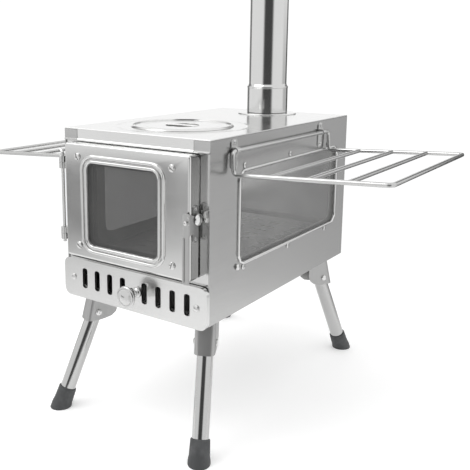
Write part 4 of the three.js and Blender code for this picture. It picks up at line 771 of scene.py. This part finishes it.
def rod_tree():
    """Bends straight rods at their corners and gives them their thickness."""
    sizes = [("Thickness", "Float"), ("Bend", "Float"), ("Steel", "Material")]
    tree, given = start_tree("rods", sizes)
    line = add_node(tree, "GeometryNodeMeshToCurve", {"Mesh": given["Geometry"]}).outputs[0]
    bent = {"Curve": line, "Count": 8, "Radius": given["Bend"], "Limit Radius": True}
    fillet = add_node(tree, "GeometryNodeFilletCurve", bent, mode="POLY")
    section = {"Resolution": 20, "Radius": given["Thickness"]}
    section = add_node(tree, "GeometryNodeCurvePrimitiveCircle", section).outputs[0]
    swept = {"Curve": fillet.outputs[0], "Profile Curve": section, "Fill Caps": True}
    swept = add_node(tree, "GeometryNodeCurveToMesh", swept).outputs[0]
    end_tree(tree, swept, given["Steel"])
    return tree


RODS = rod_tree()
ROD = 2.8
RACK_BEND = 6
RACK_BARS = 3
RACK_DROP = 28
RACK_SHELF_OUT = 1.4
RACK_TILT = 3
SADDLE_SHEET = 1.2
SADDLE_SCREWS = (6.5, 33.5)
SADDLE_HEAD = {"radius": 3.6, "rise": 2.2, "slot": 0.8, "cross": 1.0}

for side, sign in (("left", -1), ("right", 1)):
    low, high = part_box(f"rack_{side}")
    near, far = (low.x, high.x) if sign > 0 else (high.x, low.x)
    hinge_x = near + sign * ROD * MM
    inner_x = hinge_x + sign * RACK_SHELF_OUT * MM
    outer_x = far - sign * ROD * MM
    front_y, rear_y = low.y + ROD * MM, high.y - ROD * MM
    hinge_z = high.z - ROD * MM
    shelf_z = hinge_z - RACK_DROP * MM
    tip_z = shelf_z + (outer_x - inner_x) * math.tan(math.radians(RACK_TILT))
    corners = [
        (hinge_x, front_y, hinge_z),
        (inner_x, front_y, shelf_z),
        (outer_x, front_y, tip_z),
        (outer_x, rear_y, tip_z),
        (inner_x, rear_y, shelf_z),
        (hinge_x, rear_y, hinge_z),
    ]
    edges = [(i, (i + 1) % len(corners)) for i in range(len(corners))]
    for i in range(1, RACK_BARS + 1):
        share = i / (RACK_BARS + 1)
        x = inner_x + (outer_x - inner_x) * share
        z = shelf_z + (tip_z - shelf_z) * share
        edges.append((len(corners), len(corners) + 1))
        corners += [(x, front_y, z), (x, rear_y, z)]
    start = bpy.data.meshes.new(f"rack_{side}_line")
    start.from_pydata(corners, edges, [])
    bending = {"Thickness": ROD * MM, "Bend": RACK_BEND * MM, "Steel": ROD_STEEL}
    rack = f"rack_{side}"
    wire = grown(f"{rack}_run", start, RODS, bending)
    finished(f"{rack}_wire", wire, ROD_STEEL, rack, [rack], 0, 50)
    screws = []
    for end in ("front", "rear"):
        saddle = f"rack_saddle_{end}_{side}"
        eased(saddle, FITTING_STEEL, 0.2, 45)
        low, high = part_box(saddle)
        plate = (low.x if sign > 0 else high.x) + sign * SADDLE_SHEET * MM
        for height in SADDLE_SCREWS:
            screws.append((plate, (low.y + high.y) / 2, low.z + height * MM))
    heads(f"saddle_screw_heads_{side}", screws, (sign, 0, 0), "firebox", (), 31 + sign, **SADDLE_HEAD)

# ---------------------------------------------------------------------------------------------------------
# Legs. A bright tube that turns on a rivet in a folded bracket under each corner, with a moulded rubber cap
# whose sole is level with the ground.
# ---------------------------------------------------------------------------------------------------------
BRACKET_STEEL = steel("bracket_steel", 0.42, 0.4, "Z", 0.04, 0.12)
LEG_STEEL = steel("leg_steel", 0.52, 0.14, "Z", 0.02, 0.04)
LEG_RADIUS = 10.5
LEG_WALL = 1.5
LEG_TOP = 7
LEG_SPLAY = math.radians(22.2)
LEG_BEARING = math.radians(26.4)
LEG_PIVOT = Vector((93.5, 162, 133)) * MM
LEG_REACH = LEG_PIVOT.z / MM / math.cos(LEG_SPLAY)
FOOT_TOP_RADIUS = 12.3
FOOT_BOTTOM_RADIUS = 14
FOOT_LENGTH = 29
FOOT_SOLE = 11.7


def moulded_rubber():
    """Grey rubber from a worn mould: dull, faintly pebbled, dusted lighter in places."""
    material, paint = start_material("moulded_rubber")
    dust = noise(paint, (60, 60, 60), 4.0, 0.6)
    pebble = noise(paint, (1400, 1400, 1400), 2.0, 0.5)
    colour = dust.ramp(0.35, 0.72).blend((0.048, 0.05, 0.052, 1), (0.082, 0.084, 0.086, 1))
    pebbled = {"Strength": 0.25, "Distance": BUMP_DEPTH, "Height": pebble}
    bump = paint.node("ShaderNodeBump", None, pebbled)
    rough = 0.55 + dust * 0.2
    cap = {"Base Color": colour, "Roughness": rough, "Metallic": 0.0, "Normal": bump}
    end_material(paint, paint.node("ShaderNodeBsdfPrincipled", None, cap))
    return material


RUBBER = moulded_rubber()
tube_end = -LEG_REACH + FOOT_SOLE + 0.3
tube_profile = [
    (LEG_RADIUS - LEG_WALL, tube_end),
    (LEG_RADIUS, tube_end),
    (LEG_RADIUS, LEG_TOP),
    (LEG_RADIUS - LEG_WALL, LEG_TOP),
]
cap_top = -LEG_REACH + FOOT_LENGTH
cap_bore = LEG_RADIUS + 0.3
cap_profile = [
    (0, -LEG_REACH - FOOT_BOTTOM_RADIUS),
    (FOOT_BOTTOM_RADIUS, -LEG_REACH - FOOT_BOTTOM_RADIUS),
    (FOOT_BOTTOM_RADIUS, -LEG_REACH + 3),
    (FOOT_BOTTOM_RADIUS - 0.3, -LEG_REACH + 6),
    (FOOT_BOTTOM_RADIUS - 1, -LEG_REACH + 9),
    (FOOT_TOP_RADIUS, cap_top - 1.6),
    (FOOT_TOP_RADIUS - 0.25, cap_top - 0.5),
    (FOOT_TOP_RADIUS - 0.8, cap_top),
    (cap_bore, cap_top),
    (cap_bore, -LEG_REACH + FOOT_SOLE),
    (0, -LEG_REACH + FOOT_SOLE),
]
for corner, sign_x, sign_y in (
    ("front_left", -1, -1),
    ("front_right", 1, -1),
    ("rear_left", -1, 1),
    ("rear_right", 1, 1),
):
    heading = math.atan2(sign_y * math.cos(LEG_BEARING), sign_x * math.sin(LEG_BEARING))
    hip = Matrix.Translation((sign_x * LEG_PIVOT.x, sign_y * LEG_PIVOT.y, LEG_PIVOT.z))
    splayed = hip @ Matrix.Rotation(heading, 4, "Z") @ Matrix.Rotation(-LEG_SPLAY, 4, "Y")
    tube = spun(tube_profile, 64)
    bmesh.ops.transform(tube, verts=tube.verts, matrix=splayed)
    leg = f"leg_{corner}"
    finished(f"{leg}_tube", tube, LEG_STEEL, leg, [leg], 0.2)
    cap = spun(cap_profile, 64)
    bmesh.ops.transform(cap, verts=cap.verts, matrix=splayed)
    cap_whole = [*cap.verts, *cap.edges, *cap.faces]
    ground = {"plane_co": (0, 0, 0), "plane_no": (0, 0, -1)}
    sole = bmesh.ops.bisect_plane(cap, geom=cap_whole, clear_outer=True, **ground)
    rim = [part for part in sole["geom_cut"] if isinstance(part, bmesh.types.BMEdge)]
    bmesh.ops.holes_fill(cap, edges=rim, sides=0)
    finished(f"foot_{corner}_cap", cap, RUBBER, leg, [f"foot_{corner}"], 0.5)
    eased(f"leg_bracket_{corner}", BRACKET_STEEL, 0.4, 45)
    eased(f"leg_rivet_{corner}", TRIM_STEEL, 0.3, 60)

# ---------------------------------------------------------------------------------------------------------
# Studio. A pale floor that fades into the white of the room, one wide soft light overhead, and a white room
# that is dark in front, with a narrow dark flag behind and one to the left, a duller low patch behind to
# the right and another in front to the left.
# ---------------------------------------------------------------------------------------------------------
FLOOR_RADIUS = 6.0
FLOOR_FADE = (0.3, 0.62)
FLOOR_GLOW = 0.31
floor_mesh = bpy.data.meshes.new("studio_floor")
floor_shape = bmesh.new()
bmesh.ops.create_circle(floor_shape, cap_ends=True, segments=96, radius=FLOOR_RADIUS)
floor_shape.to_mesh(floor_mesh)
floor_shape.free()
floor = bpy.data.objects.new("studio_floor", floor_mesh)
bpy.context.scene.collection.objects.link(floor)
floor_material, paint = start_material("studio_floor")
place = paint.node("ShaderNodeTexCoord", output=3)
distance = paint.node("ShaderNodeVectorMath", {"operation": "LENGTH"}, {0: place}, 1)
speckle = noise(paint, (3, 3, 3), 2.0)
pale = speckle.ramp(0.2, 0.8).blend((0.86, 0.86, 0.86, 1), (0.9, 0.9, 0.9, 1))
glow = {"Base Color": pale, "Roughness": 0.9, "Emission Color": pale, "Emission Strength": FLOOR_GLOW}
matt = paint.node("ShaderNodeBsdfPrincipled", None, glow)
clear = paint.node("ShaderNodeBsdfTransparent")
fade = distance.ramp(*FLOOR_FADE)
end_material(paint, paint.node("ShaderNodeMixShader", None, {0: fade, 1: matt, 2: clear}))
floor_mesh.materials.append(floor_material)

world = bpy.data.worlds.new("studio")
bpy.context.scene.world = world
world.use_nodes = True
world.node_tree.nodes.clear()
room = Paint(world.node_tree)
direction = room.node("ShaderNodeTexCoord", output=0)
split = world.node_tree.nodes.new("ShaderNodeSeparateXYZ")
world.node_tree.links.new(direction.socket, split.inputs[0])
across, along, up = (Paint(world.node_tree, socket) for socket in split.outputs)


def towards(degrees):
    """How far a direction points towards a bearing, measured from +X: 1 straight at it, -1 away from it."""
    angle = math.radians(degrees)
    return across * math.cos(angle) + along * math.sin(angle)


level_run = (1 - up * up) ** 0.5
across = across / level_run
along = along / level_run
low_band = 1 - up.ramp(0.35, 0.7)
dark_front = towards(-63).ramp(0.83, 0.95) * low_band * (0.45 + up.ramp(-0.18, -0.1) * 0.55)
dark_edges = (towards(86).ramp(0.965, 0.985) + towards(161).ramp(0.955, 0.985)) * low_band
wall_band = (1 - up.ramp(-0.06, 0.1)) * (0.35 + up.ramp(-0.4, -0.25) * 0.65)
dull_right = towards(61).ramp(0.86, 0.97) * wall_band
door_band = up.ramp(-0.33, -0.23) * (1 - up.ramp(-0.16, -0.143))
dull_left = towards(-140).ramp(0.93, 0.985) * door_band
level = 1.05 - dark_front * 0.97 - dark_edges * 0.8 - dull_right * 0.4 - dull_left * 0.74
light = {"Color": (1, 1, 1, 1), "Strength": level.maths("MAXIMUM", level, 0.05)}
sky = room.node("ShaderNodeBackground", None, light)
sky_output = world.node_tree.nodes.new("ShaderNodeOutputWorld")
world.node_tree.links.new(sky.socket, sky_output.inputs["Surface"])

soft = bpy.data.lights.new("overhead_softbox", "AREA")
soft.shape = "RECTANGLE"
soft.size = 1.6
soft.size_y = 1.2
soft.energy = 14
softbox = bpy.data.objects.new("overhead_softbox", soft)
bpy.context.scene.collection.objects.link(softbox)
softbox.location = (-0.9, -0.9, 1.9)
softbox.rotation_euler = (Vector((0, 0, 0.3)) - softbox.location).to_track_quat("-Z", "Y").to_euler()

lens = bpy.data.cameras.new("camera")
lens.lens = 53.52
lens.sensor_width = 36
lens.shift_x = 0.1264
lens.shift_y = -0.1147
camera = bpy.data.objects.new("camera", lens)
bpy.context.scene.collection.objects.link(camera)
camera.location = (0.5512, -0.8433, 0.4930)
camera.rotation_euler = (math.radians(90 - 10.74), 0, math.radians(36.53))
bpy.context.scene.camera = camera
bpy.context.scene.view_settings.view_transform = "Standard"
